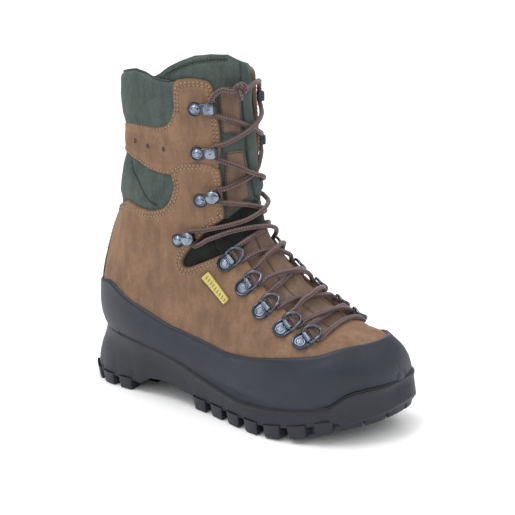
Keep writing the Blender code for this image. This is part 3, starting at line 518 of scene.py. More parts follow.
class Look:
    """A Principled material whose nodes are added one by one."""

    def __init__(self, name, roughness=0.7, metallic=0.0, sheen=0.0, specular=0.5):
        self.made = bpy.data.materials.new(name)
        self.made.use_nodes = True
        self.tree = self.made.node_tree
        self.shader = self.fill(self.tree.nodes["Principled BSDF"], {
            "Roughness": roughness, "Metallic": metallic, "Sheen Weight": sheen,
            "Sheen Roughness": 0.45, "Specular IOR Level": specular,
        })
        self.place = self.tree.nodes.new("ShaderNodeTexCoord").outputs["Object"]

    def fill(self, node, inputs):
        """Sets each input to a value, or links it to another node's output."""
        for key, value in inputs.items():
            if isinstance(value, bpy.types.NodeSocket):
                self.tree.links.new(value, node.inputs[key])
            else:
                node.inputs[key].default_value = value
        return node

    def add(self, kind, inputs, **settings):
        node = self.tree.nodes.new("ShaderNode" + kind)
        for key, value in settings.items():
            setattr(node, key, value)
        return self.fill(node, inputs).outputs

    def noise(self, scale, detail=3.0, roughness=0.55, stretch=None):
        source = self.place
        if stretch is not None:
            source = self.add("Mapping", {"Vector": source, "Scale": stretch})["Vector"]
        return self.add("TexNoise", {
            "Scale": scale, "Detail": detail, "Roughness": roughness, "Vector": source,
        })["Fac"]

    def attribute(self, name):
        return self.add("Attribute", {}, attribute_name=name)["Fac"]

    def ramp(self, value, low, high, first=0.0, last=1.0):
        return self.add("MapRange", {
            "Value": value, "From Min": low, "From Max": high, "To Min": first, "To Max": last,
        }, interpolation_type="SMOOTHSTEP")["Result"]

    def cloud(self, low, high, *noise):
        """Noise with its contrast raised."""
        return self.ramp(self.noise(*noise), low, high)

    def math(self, operation, *values):
        return self.add("Math", dict(enumerate(values)), operation=operation)[0]

    def mix(self, factor, a, b):
        a, b = ((*v, 1.0) if isinstance(v, tuple) else v for v in (a, b))
        return self.add("Mix", {0: factor, 6: a, 7: b}, data_type="RGBA")[2]

    def layers(self, base, *layers):
        """The base with each (mask, share, colour) mixed over it in turn."""
        for mask, share, colour in layers:
            base = self.mix(self.math("MULTIPLY", mask, share), base, colour)
        return base

    def finished(self, base, *bumps, rough=None):
        """The material, with its bumps as (height, strength, distance in metres)."""
        inputs = {"Base Color": base}
        if rough is not None:
            inputs["Roughness"] = rough
        for height, strength, distance in bumps:
            below = {"Normal": inputs["Normal"]} if "Normal" in inputs else {}
            inputs["Normal"] = self.add("Bump", {
                "Strength": strength, "Distance": distance, "Height": height, **below,
            })["Normal"]
        self.fill(self.shader, inputs)
        return self.made


def linear(colour):
    """A display colour from 0 to 255 as scene-linear numbers."""
    return tuple(
        v / 12.92 if v <= 0.04045 else ((v + 0.055) / 1.055) ** 2.4
        for v in (channel / 255 for channel in colour)
    )


def scaled(colour, factor):
    return tuple(min(1.0, v * factor) for v in colour)


def nubuck(name, colour, warm, shade, amount=1.0):
    """Brushed leather: cloudy colour, brushed streaks, fine nap, burnished edges, and painted shade in
    its grooves.
    """
    colour, warm, shade = map(linear, (colour, warm, shade))
    look = Look(name, roughness=0.78, sheen=0.22, specular=0.3)
    look.shader.inputs["Sheen Tint"].default_value = (*scaled(colour, 2.2), 1.0)
    patch = look.cloud(0.42, 0.62, 60, 4, 0.65)
    streak = look.cloud(0.4, 0.66, 150, 3, 0.6, (1.0, 1.0, 0.3))
    edge = look.attribute("edge")
    band = look.math("MULTIPLY", look.ramp(edge, 1.0, 2.0), look.ramp(edge, 6.5, 9.0, 1.0, 0.0))
    base = look.layers(
        look.mix(look.cloud(0.36, 0.66, 22, 4, 0.6), scaled(colour, 0.92), warm),
        (patch, 0.5 * amount, scaled(colour, 1.12)),
        (streak, 0.35 * amount, shade),
        (look.cloud(0.4, 0.62, 520, 4, 0.7), 0.3, scaled(shade, 0.92)),
        (look.ramp(edge, 0.0, 1.1, 1.0, 0.0), 0.55, scaled(shade, 0.62)),
        (band, 0.18, scaled(warm, 1.18)),
        # Darker along the grooves pressed into a panel: painted shade in the grooves.
        (look.ramp(look.attribute("groove"), 0.3, 1.6, 1.0, 0.0), 0.6, scaled(shade, 0.4)),
    )
    return look.finished(
        base,
        (look.noise(1500, 3, 0.7), 0.35, 0.0004),
        (look.noise(320, 4, 0.65), 0.28, 0.0008),
        (look.noise(90, 3, 0.5), 0.22, 0.0016),
        rough=look.ramp(patch, 0.0, 1.0, 0.86, 0.66),
    )


def rubber(name, colour, light, scuff_and_highlight):
    """Matte moulded rubber with a pebbled face, scuffs and dust in its lows; its edges are lighter,
    partly as scuffing and partly as a painted highlight.
    """
    colour, light, scuff_and_highlight = map(linear, (colour, light, scuff_and_highlight))
    look = Look(name, roughness=0.6, specular=0.42)
    rub = look.cloud(0.55, 0.72, 70, 5, 0.7, (0.6, 0.6, 1.6))
    base = look.layers(
        look.mix(look.cloud(0.35, 0.68, 16, 4, 0.6), colour, light),
        (look.cloud(0.46, 0.64, 700, 3, 0.7), 0.22, scaled(light, 1.35)),
        (rub, 0.28, scuff_and_highlight),
        # Lighter towards the edges: partly scuffing, partly a painted highlight.
        (look.ramp(look.attribute("edge"), 0.1, 1.6, 1.0, 0.0), 0.3, scuff_and_highlight),
    )
    return look.finished(
        base,
        (look.noise(1300, 3, 0.65), 0.3, 0.00035),
        (look.noise(260, 3, 0.6), 0.16, 0.0008),
        rough=look.ramp(rub, 0.0, 1.0, 0.5, 0.72),
    )


def metal(name, colour, roughness=0.2):
    """Plated steel of a scene-linear colour, with duller patches darkened partly as dirt and partly as
    painted dark reflections, and fine scratches brightened partly as wear and partly as painted
    glints.
    """
    look = Look(name, roughness=roughness, metallic=1.0)
    # Dark patches: partly dirt, partly painted dark reflections. Bright scratches: partly wear, partly
    # painted glints.
    dirt_and_painted_dark = look.cloud(0.42, 0.66, 200, 3, 0.5)
    scratch_and_painted_glint = look.cloud(0.5, 0.62, 900, 3, 0.6, (1.0, 0.15, 0.6))
    return look.finished(
        look.layers(colour, (dirt_and_painted_dark, 0.6, scaled(colour, 0.4)), (scratch_and_painted_glint, 0.2, scaled(colour, 1.7))),
        (scratch_and_painted_glint, 0.12, 0.00015),
        (look.noise(420, 2, 0.5), 0.12, 0.0003),
        rough=look.ramp(dirt_and_painted_dark, 0.0, 1.0, roughness, roughness + 0.22),
    )


def cloth(name, colour, light, scale=900.0, sheen=0.3):
    """Woven or knitted cloth: crossed threads with a soft nap."""
    colour, light = linear(colour), linear(light)
    look = Look(name, roughness=0.9, sheen=sheen, specular=0.2)
    cell = look.add(
        "TexVoronoi", {"Scale": scale, "Vector": look.place}, feature="DISTANCE_TO_EDGE"
    )["Distance"]
    base = look.layers(
        look.mix(look.ramp(cell, 0.02, 0.3), scaled(colour, 0.55), colour),
        (look.cloud(0.35, 0.66, 40, 3, 0.6), 0.5, light),
        # Darker along the lines drawn into the cloth, sunk seams and raised ridges alike; in the sunk
        # seams this is painted shade.
        (look.ramp(look.attribute("groove"), 0.3, 1.4, 1.0, 0.0), 0.7, scaled(colour, 0.3)),
    )
    return look.finished(base, (cell, 0.5, 0.0005), (look.noise(180, 3, 0.6), 0.2, 0.001))


def lace_look(name):
    """A braided lace: dark red-brown with light flecks along both edges."""
    look = Look(name, roughness=0.72, sheen=0.25, specular=0.35)
    along, around = look.attribute("along"), look.attribute("around")
    turns = look.math("MULTIPLY", along, 2.4)
    first, second = (look.math("SINE", look.math(way, turns, around)) for way in ("ADD", "SUBTRACT"))
    weave = look.ramp(look.math("MAXIMUM", first, second), -0.2, 0.9)
    rim = look.math("ABSOLUTE", look.attribute("rim"))
    side = look.math("MULTIPLY", look.ramp(rim, 0.42, 0.62), look.ramp(rim, 0.78, 0.94, 1.0, 0.0))
    dash = look.ramp(look.math("SINE", look.math("MULTIPLY", along, 2.9)), -0.1, 0.35)
    base = look.layers(
        look.mix(weave, linear((42, 29, 31)), linear((86, 64, 66))),
        (look.cloud(0.4, 0.65, 90, 3, 0.6), 0.4, linear((98, 76, 72))),
        (look.math("MULTIPLY", side, dash), 0.6, linear((150, 128, 112))),
    )
    return look.finished(base, (weave, 0.5, 0.0004), (look.noise(1600, 2, 0.6), 0.3, 0.0002))


def thread_look(name, colour, light):
    look = Look(name, roughness=0.75, sheen=0.2)
    base = look.mix(look.cloud(0.4, 0.6, 1400, 2, 0.5), linear(colour), linear(light))
    return look.finished(base, (look.noise(2200, 2, 0.6), 0.4, 0.0002))


BROWN = nubuck("nubuck_brown", (125, 96, 75), (140, 110, 85), (95, 75, 62), 1.35)
GREEN = nubuck("nubuck_green", (66, 77, 73), (79, 88, 82), (47, 60, 56), 1.5)
OLIVE = nubuck("nubuck_olive", (84, 75, 56), (98, 87, 64), (64, 58, 44))
TONGUE_BROWN = nubuck("nubuck_tongue", (108, 86, 74), (124, 100, 84), (84, 68, 58))
RAND = rubber("rubber_rand", (25, 30, 41), (33, 38, 50), (50, 56, 70))
SOLE = rubber("rubber_sole", (22, 26, 34), (28, 32, 42), (46, 51, 62))
# Near black: painted shade for the groove between sole and rand.
SEAM_SHADE = rubber("rubber_seam_shade", (10, 10, 12), (14, 14, 16), (20, 20, 22))
STEEL = metal("plated_steel", (0.058, 0.068, 0.092), 0.13)
BRIGHT = metal("bright_steel", (0.22, 0.255, 0.315), 0.1)
WIRE = metal("wire_steel", (0.11, 0.128, 0.165), 0.1)
STRETCH = cloth("cloth_stretch", (30, 33, 31), (42, 46, 42), 1200)
LINING = cloth("cloth_lining", (60, 80, 71), (70, 92, 82), 700)
FOOTBED = cloth("cloth_footbed", (58, 62, 64), (74, 78, 80), 520)
LACE = lace_look("lace_braid")
THREAD = thread_look("thread_cream", (130, 108, 86), (158, 136, 110))
THREAD_GREEN = thread_look("thread_green", (44, 60, 52), (62, 82, 72))
# Dark discs of painted shade for the needle holes, the vent holes and the tongue's hole.
HOLE_SHADE = thread_look("hole_shade", (46, 33, 27), (60, 42, 34))
LABEL = thread_look("label_yellow", (178, 162, 82), (204, 190, 116))
LABEL_DARK = thread_look("label_brown", (74, 62, 30), (96, 82, 44))
INNER = rubber("hidden_core", (70, 68, 66), (80, 78, 75), (90, 88, 86))
FOAM = rubber("foam_midsole", (74, 76, 80), (88, 90, 94), (100, 102, 105))


# ---------------------------------------------------------------- the bodies


def bends(piece):
    """Bakes the piece's transform into its mesh."""
    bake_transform(piece)


def dress(piece, body, *nodes, slot=None, fill=None, bend=0.015):
    """Puts a piece on its body, in place of CAD nodes, which it hides; the slot is not used.

    The fill is not used. For the body "bend" the piece is put on no body and has its transform
    baked into its mesh; the bend length in metres is not used.
    """
    if nodes:
        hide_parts(*nodes)
    if body == "bend":
        bends(piece)
    else:
        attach(piece, body)


def around(path):
    """A lateral path from the back round the front to the back, made whole the long way."""
    return list(path) + [(360 - a, s) for a, s in reversed(path) if a < 180]


# ---------------------------------------------------------------- stitching

THREADS = {}
# Along a stitch from end to end: the place, and the thickness there.
STITCH_SHAPE = ((-0.5, 0.25), (-0.4, 0.8), (-0.18, 1.0), (0.18, 1.0), (0.4, 0.8), (0.5, 0.25))
HOLE_RADIUS = 0.52
# How far the two rows of a double seam lie from the edge.
DOUBLE_SEAM = (2.3, 4.9)


def stitches(group, path, height, pitch=3.3, length=2.3, radius=0.43, inward=0.0, closed=False):
    """A row of stitches, each with a dark disc of painted shade for its needle hole, collected into a
    group for one piece.
    """
    path = dense(path, 1.0, closed)
    if inward:
        path = beside(path, inward, closed)
    along = run_along(on_skin(path))
    count = int(along[-1] / pitch)
    rng = np.random.default_rng(len(THREADS.get(group, ([], []))[0]) + 5)
    made, shade_discs = THREADS.setdefault(group, ([], []))

    def place_at(far):
        return np.array([np.interp(far, along, column) for column in path.T])

    for k in range(count):
        middle = (k + 0.5) * along[-1] / count
        ends = [place_at(middle + d) for d in (-length / 2, length / 2)]
        a, b = (skin(*e, height) for e in ends)
        out = outward(*((ends[0] + ends[1]) / 2))
        way = b - a
        size = np.linalg.norm(way)
        if size < 0.5 or size > 2 * length:
            continue
        way /= size
        side = np.cross(out, way)
        way = way + side * rng.normal() * 0.05
        middle_point = (a + b) / 2
        rings = []
        for t, r in STITCH_SHAPE:
            lift = radius * (0.35 - 1.5 * t * t * 1.6)
            centre = middle_point + way * t * size * 1.08 + out * lift
            rings.append([
                centre
                + side * (radius * r * math.cos(p)) * 1.1
                + out * (radius * r * math.sin(p))
                for p in np.linspace(0, 2 * math.pi, 6, endpoint=False)
            ])
        faces = grid_faces(len(rings), 6, True) + end_faces(len(rings), 6)
        made.append((np.vstack(rings), turned_over(faces)))
        # A flat dark disc of painted shade stands for the needle hole at the end of each stitch.
        centre = skin(*place_at((k + 1) * along[-1] / count), height + 0.03)
        ring = [
            centre + (way * math.cos(p) + side * math.sin(p)) * HOLE_RADIUS
            for p in np.linspace(0, 2 * math.pi, 7, endpoint=False)
        ]
        shade_discs.append((np.array([centre + out * 0.1] + ring), [(0, i, i % 7 + 1) for i in range(1, 8)]))


def make_threads(group, look, body):
    made, shade_discs = THREADS[group]
    dress(mesh_object(f"stitches_{group}", *gathered(made), look), body)
    # The needle holes are dark discs of painted shade.
    dress(mesh_object(f"needle_hole_shades_{group}", *gathered(shade_discs), HOLE_SHADE, smooth=False), body)


# ---------------------------------------------------------------- the leather upper

# The height of the seam between sole and rand, of the ground's rocker and of the arch,
# as (x, z) places from heel to toe.
SEAM_LINE = np.array((
    (-165, 52), (-140, 52), (-111, 50.5), (-85, 48.6), (-69, 46.6), (-54, 43.8), (-39, 40),
    (-16, 32.8), (0, 28.4), (11, 26.2), (31, 23.6), (57, 24.3), (82, 26.8), (104, 30.5),
    (114, 33.0), (119, 37.4), (123, 40.8), (128, 43.2), (135, 44.5), (144, 44.5),
)).T
ROCKER_LINE = np.array((
    (-170, 12), (-157, 6), (-148, 2), (-140, 0), (20, 0), (60, 0.5), (90, 4.6), (112, 10.2),
    (122, 12.8), (136, 15.6), (143, 18.6), (150, 23.5), (170, 34),
)).T
ARCH_LINE = np.array(((-88, 0), (-76, 7), (-60, 7.5), (-40, 4), (-22, 0))).T

PAD_LOWER = [(180, 10.68), (150, 10.66), (121, 10.63), (103, 10.15), (91, 9.86), (79, 9.68)]
PAD_FRONT = [(75, 9.85), (73.5, 10.3), (77, 10.66)]
PAD_UPPER = [(97, 11.1), (112, 11.4), (127, 11.6), (150, 11.73), (180, 11.78)]
COLLAR_LOWER = [
    (180, 12.18), (122, 12.18), (103, 12.08), (89, 11.98), (78, 12.04), (74, 12.3), (71.5, 12.93),
]
NOTCH_UPPER = [(36, 7.55), (45, 7.66), (53, 7.65), (61, 7.56)]
NOTCH_END = [(67, 7.46), (68.5, 7.28), (66.5, 7.1)]
NOTCH_LOWER = [(62, 6.95), (56, 6.74), (46, 6.4), (37, 6.15)]
FLAP_FRONT = [(34.5, 8.3), (35.5, 9.5), (38, 10.12)]
FLAP_SEAM = [(47, 10.6), (60, 10.88), (72, 11.02), (78, 10.92)]
LEATHER_TOP = 1.0
CUFF_TOP = 0.1


def seam_height(x):
    return np.interp(x, *SEAM_LINE)


def narrower(path, side):
    """The front edge of a flap, which lies nearer the middle on the medial side."""
    return [(a * (1.0 if side > 0 else 0.74), s) for a, s in path]


def leather_half(side):
    """Half of the main leather's outline, from the back over the pad, flap and throat."""
    path = (
        PAD_LOWER + PAD_FRONT + FLAP_SEAM[::-1]
        + narrower(FLAP_FRONT[::-1] + NOTCH_UPPER[:1], side)
        + NOTCH_UPPER[1:] + NOTCH_END + NOTCH_LOWER + [(34, 5.9), (34, 2.35), (30, 2.13)]
    )
    return [(side * a, s) for a, s in path]


def make_leather():
    top = leather_half(1) + leather_half(-1)[::-1]
    bottom = [(-180, 7.75), (-150, 6.7), (-130, 2.0), (-125, 0.3)]
    bottom += mirrored(bottom)
    outline = rounded(top + bottom, 4.0, True, (0, len(top) - 1, len(top), len(top) + 7))

    def free(a, s):
        return abs(a) < 178 and s > 2.0 and not (abs(a) > 70 and s < 9)

    def puff(d, a, s):
        creases = 0.9 * np.exp(-(((s - 7.6 - 0.012 * (np.abs(a) - 60)) / 0.5) ** 2))
        creases = creases * np.sin(s * 21 + a * 0.05) * np.clip((np.abs(a) - 60) / 25, 0, 1)
        return creases * 0.5 * (1 - np.exp(-d / 8))

    piece = panel(
        "upper_leather", outline, -2.0, LEATHER_TOP, BROWN, edge=1.2, puff=puff, step=2.3,
        wave=(0.45, 34, 3), free=free,
    )
    dress(piece, "bend", "vamp", "quarter_lateral", "quarter_medial", slot="quarter_lateral")
    for side in (1, -1):
        rows = (
            PAD_LOWER[1:] + PAD_FRONT + [(78.5, 10.8)],
            FLAP_SEAM[::-1] + narrower([(38.5, 10.1), (35.5, 9.5), (34.5, 8.3), (36, 7.62)], side),
            narrower(NOTCH_UPPER[:1], side) + NOTCH_UPPER[1:] + NOTCH_END + NOTCH_LOWER,
        )
        for row in rows:
            path = [(side * a, s) for a, s in rounded(row, 5.0, False)]
            for far in DOUBLE_SEAM:
                stitches("leather", path, LEATHER_TOP + 0.1, inward=far * side)


def make_cuff():
    """The upper leather of the shaft, tucked behind the lower leather's top edge."""
    front_line = [(43, 12.86), (38.5, 12.7), (37, 11.75), (37, 10.9)]

    def half(side):
        return (
            COLLAR_LOWER + [(56, 12.95)] + narrower(front_line + [(39, 9.9)], side)
            + [(47, 10.3), (60, 10.6), (71, 10.7), (76.5, 10.72)] + PAD_UPPER
        )

    outline = half(1) + [(360 - a, s) for a, s in reversed(half(-1)[:-1])][:-1]
    piece = panel(
        "cuff_leather", rounded(outline, 4.0, True), -2.0, CUFF_TOP, BROWN, edge=1.1, step=2.3,
        wave=(0.5, 30, 8),
    )
    dress(piece, "cuff", "cuff_lateral", "cuff_medial")
    for side in (1, -1):
        def turned(path):
            return [(a if side > 0 else 360 - a, s) for a, s in path]

        front = narrower(front_line + [(38, 10.3)], side)
        top = [(74.5, 12.2), (71.5, 12.9), (56, 12.95)] + front
        collar = [(150, 12.18), *COLLAR_LOWER[1:4], (79, 12.03), (74.5, 12.25)]
        pad = [(79, 10.78), (97, 11.1), (112, 11.4), (127, 11.6), (150, 11.73)]
        for far in DOUBLE_SEAM:
            stitches("cuff", turned(rounded(top, 6.0, False)), CUFF_TOP + 0.1, inward=far * side)
        stitches("cuff", turned(pad), CUFF_TOP + 0.12, inward=2.3 * side)
        stitches("cuff", turned(collar), CUFF_TOP + 0.1, inward=2.0 * side)


def make_vents():
    """Three small punched air holes each side, each filled by a dark disc of painted shade inside a
    pressed rim.
    """
    parts, rims = [], []
    for sign in (1, -1):
        for angle, station in ((116, 11.82), (101, 11.66), (85, 11.5)):
            turn = sign * angle
            centre = skin(turn, station, CUFF_TOP)
            side, up, out = axes_at(turn, station)

            def oval(wide, tall, lift):
                return [
                    centre + side * (wide * math.cos(p)) + up * (tall * math.sin(p)) + out * lift
                    for p in np.linspace(0, 2 * math.pi, 18, endpoint=False)
                ]

            rows = [
                oval(r, 1.35 * r, h) for r, h in ((1.7, 0.1), (1.45, 0.32), (1.15, 0.2), (1.0, -0.5))
            ]
            rims.append((np.vstack(rows), grid_faces(4, 18, True)))
            # Each hole is a flat dark disc of painted shade, set inside the rim.
            parts.append((np.array(oval(1.12, 1.5, 0.12)), [tuple(range(18))]))
    dress(mesh_object("vent_rims", *gathered(rims), BROWN), "cuff")
    dress(mesh_object("vent_hole_shades", *gathered(parts), HOLE_SHADE), "cuff")


def make_pads():
    """The padded heel-tendon panel and the padded collar."""
    grown = [
        (180, 10.6), (121, 10.55), (103, 10.06), (91, 9.78), (79, 9.58), (72.5, 9.8), (71, 10.35),
        (75, 10.8), (97, 11.2), (112, 11.5), (127, 11.7), (180, 11.86),
    ]
    groove = [(122, 11.45), (112, 11.1), (102, 10.6), (94, 10.2), (88, 9.95)]

    def swell(d, a, s):
        return 3.9 * np.clip((d - 1.4) / 12, 0, 1) ** 1.2

    pad = panel(
        "tendon_pad", around(grown), -3.0, -1.6, GREEN, edge=1.0, puff=swell, step=2.0,
        lines=((groove, 1.2, 1.7), ([(360 - a, s) for a, s in groove], 1.2, 1.7)),
        wave=(0.5, 22, 12), round_=(7.0,),
    )
    dress(pad, "cuff", "achilles_pad", fill=0.6)

    angles = np.concatenate([
        np.linspace(69, 84, 9), np.linspace(86, 274, 84), np.linspace(276, 291, 9),
    ])
    fold = np.where(angles > 180, 360 - angles, angles)
    lower = np.interp(fold, *np.array((
        (69, 12.0), (74, 11.96), (78, 11.93), (89, 11.88), (103, 11.98), (122, 12.08), (180, 12.08),
    )).T)
    upper = np.interp(angles, *np.array((
        (69, 12.88), (76, 12.9), (82, 12.92), (90, 12.97), (99, 13.08), (110, 13.14), (124, 13.1),
        (141, 13.04), (160, 13.0), (180, 12.93), (190, 12.85), (200, 12.8), (210, 12.86),
        (222, 12.93), (250, 12.96), (261, 12.99), (278, 12.95), (284, 12.92), (291, 12.9),
    )).T)
    taper = np.clip((fold - 69) / 14, 0, 1) ** 0.6
    profile = (
        (0.0, -2.6), (0.03, -1.9), (0.08, -0.6), (0.15, 0.5), (0.28, 1.4), (0.45, 1.9), (0.62, 2.1),
        (0.76, 2.0), (0.87, 1.5), (0.94, 0.7), (0.985, -0.5), (1.0, -1.9), (0.99, -3.4), (0.95, -4.8),
        (0.86, -6.0), (0.7, -6.8), (0.5, -7.0), (0.2, -6.9),
    )
    points, edge = [], []
    for t, out in profile:
        station = lower + (upper - lower) * t
        far = -1.6 + (out + 1.6) * taper if out > -1.6 else out
        row = skin(angles, station, far)
        row += normals(station, np.radians(angles)) * (
            ripple(row, 20, 21) * 0.45 * taper * (out > 0)
        )[:, None]
        points.append(row)
        # The inner rows take an edge value inside the leather's light band: painted light on the
        # collar's shaded inner face.
        edge.append(np.full(len(angles), 9.0 if out > 0 else 6.0))
    faces = grid_faces(len(profile), len(angles))
    collar = mesh_object(
        "collar_padding", np.vstack(points), turned_over(faces), GREEN,
        {"edge": np.concatenate(edge), "groove": np.full(len(profile) * len(angles), FAR_OFF)},
    )
    facing_out(collar)
    dress(collar, "cuff", "collar_pad", fill=0.65)
    points, faces = sweep(skin(angles[3:-3], upper[3:-3] + 0.012, -1.5), 0.8, 8)[:2]
    more = {"edge": np.full(len(points), 0.5), "groove": np.full(len(points), FAR_OFF)}
    dress(mesh_object("collar_piping", points, faces, GREEN, more), "cuff")


def facing_out(piece):
    """Turns a piece's faces to point away from the shaft's middle."""
    data = piece.data
    total = 0.0
    for face in list(data.polygons)[::40]:
        centre = face.center
        total += face.normal.x * (centre.x + 0.045) + face.normal.y * centre.y
    if total < 0:
        data.flip_normals()


def make_backstay():
    crest = [(146, 9.9), (151, 10.3), (159, 10.7), (180, 10.76)]
    piece = panel(
        "backstay_strip", around([(180, 8.95), (150, 8.85), (144, 9.3)] + crest), 0.4, 2.4, OLIVE,
        edge=1.0, step=2.0, wave=(0.3, 18, 4), round_=(5.0,),
    )
    dress(piece, "bend", "backstay")
    stitches("leather", dense(around([(144.5, 9.55)] + crest), 2.0), 2.5, inward=-2.2)


# ---------------------------------------------------------------- tongue and linings

def make_tongue():
    def crown(d, a, s):
        return 0.8 * (1 - np.exp(-d / 9))

    lower = panel(
        "tongue_lower_leather", [(-46, 1.95), (46, 1.95), (46, 6.0), (-46, 6.0)], -5.4, -3.2,
        TONGUE_BROWN, edge=1.0, puff=crown, wave=(0.7, 20, 31), step=2.4,
        lines=(([(-15, 2.1), (-17, 5.9)], 0.9, 0.9), ([(15, 2.1), (17, 5.9)], 0.9, 0.9)),
    )
    dress(lower, "foot", "tongue_lower")
    right = [
        (30, 5.85), (46, 6.2), (58, 6.6), (68, 6.95), (73, 7.3), (68, 7.64), (56, 7.78), (44, 7.76),
        (34, 7.5),
    ]
    seams = tuple(([(a, 6.2), (a * 0.94, 7.55)], 0.8, 0.7) for a in (-49, -26, 26, 50))
    stretch = panel(
        "stretch_panel", right + mirrored(right), -4.6, -3.4, STRETCH, edge=1.0, step=2.0,
        wave=(0.55, 14, 5), lines=seams, puff=lambda d, a, s: 0.9 * (1 - np.exp(-d / 6)),
    )
    dress(stretch, "bend", "tongue_flex_panel", bend=0.03)
    top = [
        (-47, 7.45), (49, 7.45), (49, 12.5), (62, 12.8), (92, 12.9), (90, 13.02), (78, 13.2),
        (66, 13.34), (52, 13.47), (36, 13.5), (17, 13.45), (8, 13.32), (-2, 13.2), (-20, 13.1),
        (-38, 12.98), (-47, 12.75),
    ]
    border = [(80, 13.03), (66, 13.19), (52.5, 13.31), (36.5, 13.36), (21, 13.33)]

    def swell(d, a, s):
        rise = 1.6 * np.clip(d / 8, 0, 1)
        return rise * np.where(s > 12.8, 1.0, 0.5)

    upper = panel(
        "tongue_upper_leather", top, -6.0, -4.2, GREEN, edge=1.2, puff=swell, step=2.2,
        lines=((border, 0.9, 0.6),), wave=(0.6, 24, 9), round_=(5.0,),
    )
    dress(upper, "cuff", "tongue_upper", fill=0.4)
    back = panel(
        "tongue_back", top, -7.2, -6.4, LINING, edge=1.0, step=3.0, wave=(0.4, 22, 10), flip=True,
        skirt=0.9,
    )
    dress(back, "cuff")
    for far in (1.3, -1.3):
        stitches("tongue", border, -2.95, pitch=2.9, length=1.9, radius=0.36, inward=far)
    patches = (
        ("lower", [(10, 7.75), (33, 7.75), (33, 10.72), (12, 10.5), (9, 9.6)], (1, 2)),
        ("upper", [(12, 11.2), (35, 11.4), (34, 12.66), (8, 12.58)], (3,)),
    )
    for seed, (word, patch, numbers) in enumerate(patches):
        piece = panel(
            f"tongue_patch_{word}_leather", patch, -3.6, -2.3, TONGUE_BROWN, edge=0.8, step=1.8,
            wave=(0.35, 14, 40 + seed), round_=(2.5,),
        )
        dress(piece, "cuff", *(f"tongue_patch_{number}" for number in numbers))
        stitches(
            "tongue", dense(patch, 2.0, True), -2.25, pitch=2.9, length=1.9, radius=0.34, inward=1.6,
            closed=True,
        )
    # A flat dark disc of painted shade stands for the hole in the tongue.
    spot = skin(13.0, 9.0, -2.2)
    side, up, _ = axes_at(13.0, 9.0)
    turns = np.linspace(0, 2 * math.pi, 13, endpoint=False)
    ring = [spot + (side * math.cos(t) + up * math.sin(t)) * 1.1 for t in turns]
    dress(mesh_object("tongue_hole_shade", ring, [tuple(range(13))], HOLE_SHADE), "cuff")
    strip = [
        (4, 7.6), (5, 8.6), (8, 10.4), (9, 11.3), (7, 12.5), (5, 13.22), (-9, 13.12), (-7, 12.5),
        (-12, 11.2), (-13, 10.0), (-13, 8.6), (-14, 7.6),
    ]
    roll = panel(
        "tongue_roll", strip, -4.4, -2.4, GREEN, edge=1.6, step=1.8, wave=(0.3, 16, 14),
        puff=lambda d, a, s: 3.3 * np.clip(d / 7, 0, 1) ** 0.7, round_=(4.0,),
    )
    dress(roll, "cuff", slot="tongue_upper")


def make_linings():
    piece = panel(
        "lining_of_cuff",
        around([
            (180, 7.9), (120, 7.5), (75, 7.35), (52, 7.5), (50, 12.7), (70, 12.75), (180, 12.55),
        ]),
        -6.8, -5.8, LINING, edge=1.0, step=3.4, wave=(0.5, 26, 15), flip=True,
        lines=(([(180, 8.3), (180, 12.9)], 1.2, -0.8),),
    )
    dress(piece, "bend", "lining_cuff")
    piece = panel(
        "lining_of_foot",
        around([
            (180, 0.6), (60, 0.6), (46, 1.95), (46, 6.1), (60, 6.95), (75, 7.4), (120, 7.9),
            (180, 8.2),
        ]),
        -8.2, -7.4, LINING, edge=1.0, step=4.0, wave=(0.4, 30, 16), flip=True,
    )
    dress(piece, "foot", "lining_foot")
    bed = panel(
        "footbed_cushion", [(138, 0.9), (222, 0.9), (222, 7.25), (138, 7.25)], -11.5, -9.8, FOOTBED,
        edge=1.5, step=3.4, wave=(0.5, 30, 18), flip=True, skirt=0.5, round_=(10.0,),
        lines=(([(150, 5.9), (210, 5.9)], 1.4, -0.7), ([(150, 6.2), (210, 6.2)], 1.4, -0.7)),
    )
    dress(bed, "foot", "footbed")


def make_label():
    """A small woven tape with a raised border and a plain row of slanting bars."""
    outline = [(59, 6.42), (61, 5.25), (66, 5.33), (64.2, 6.48)]
    piece = panel(
        "label_tape", outline, LEATHER_TOP - 0.2, LEATHER_TOP + 0.9, LABEL, edge=0.5, step=1.2,
        skirt=0.6,
    )
    dress(piece, "foot", "label_tag")
    corners = np.array(outline, float)
    top = LEATHER_TOP + 1.0
    border = beside(dense(outline, 1.0, True), -1.0, True)
    bars = [sweep(on_skin(border, top), 0.28, 6, closed=True)[:2]]
    for k in range(9):
        t = (k + 0.9) / 9.8
        left = corners[0] + (corners[1] - corners[0]) * t
        right = corners[3] + (corners[2] - corners[3]) * min(1.0, t + 0.05)
        line = [left + (right - left) * (0.3 + 0.4 * u) for u in (0, 0.33, 0.67, 1)]
        bars.append(sweep(on_skin(line, top), 0.3, 6)[:2])
    dress(mesh_object("label_bars", *gathered(bars), LABEL_DARK), "foot")


# ---------------------------------------------------------------- rubber

RAND_TOP = [
    (180, 9.25), (150, 9.0), (123, 8.65), (106, 7.7), (99, 7.0), (98, 6.25), (94, 5.5),
    (89, 4.65), (75, 3.35), (62, 2.5), (49, 1.8), (29, 1.05), (0, 0.84),
]
SOLE_PLAN = (
    (-157, -1), (-150, -25), (-128, -38), (-90, -40), (-50, -39), (-10, -44), (30, -53),
    (58, -57), (88, -53), (114, -41), (133, -22), (145, 1), (147, 21), (140, 37),
    (124, 47), (100, 51), (72, 51), (40, 46), (0, 37), (-40, 33), (-90, 36), (-128, 35),
    (-150, 23),
)
SOLE_SPINE = ((-112, -1), (98, 4))
SAMPLES = 336
LUG_COUNT = 33
PER_LUG = SAMPLES / LUG_COUNT
LUG_CORNER = 1.6
TREAD_DEPTH = 8.5
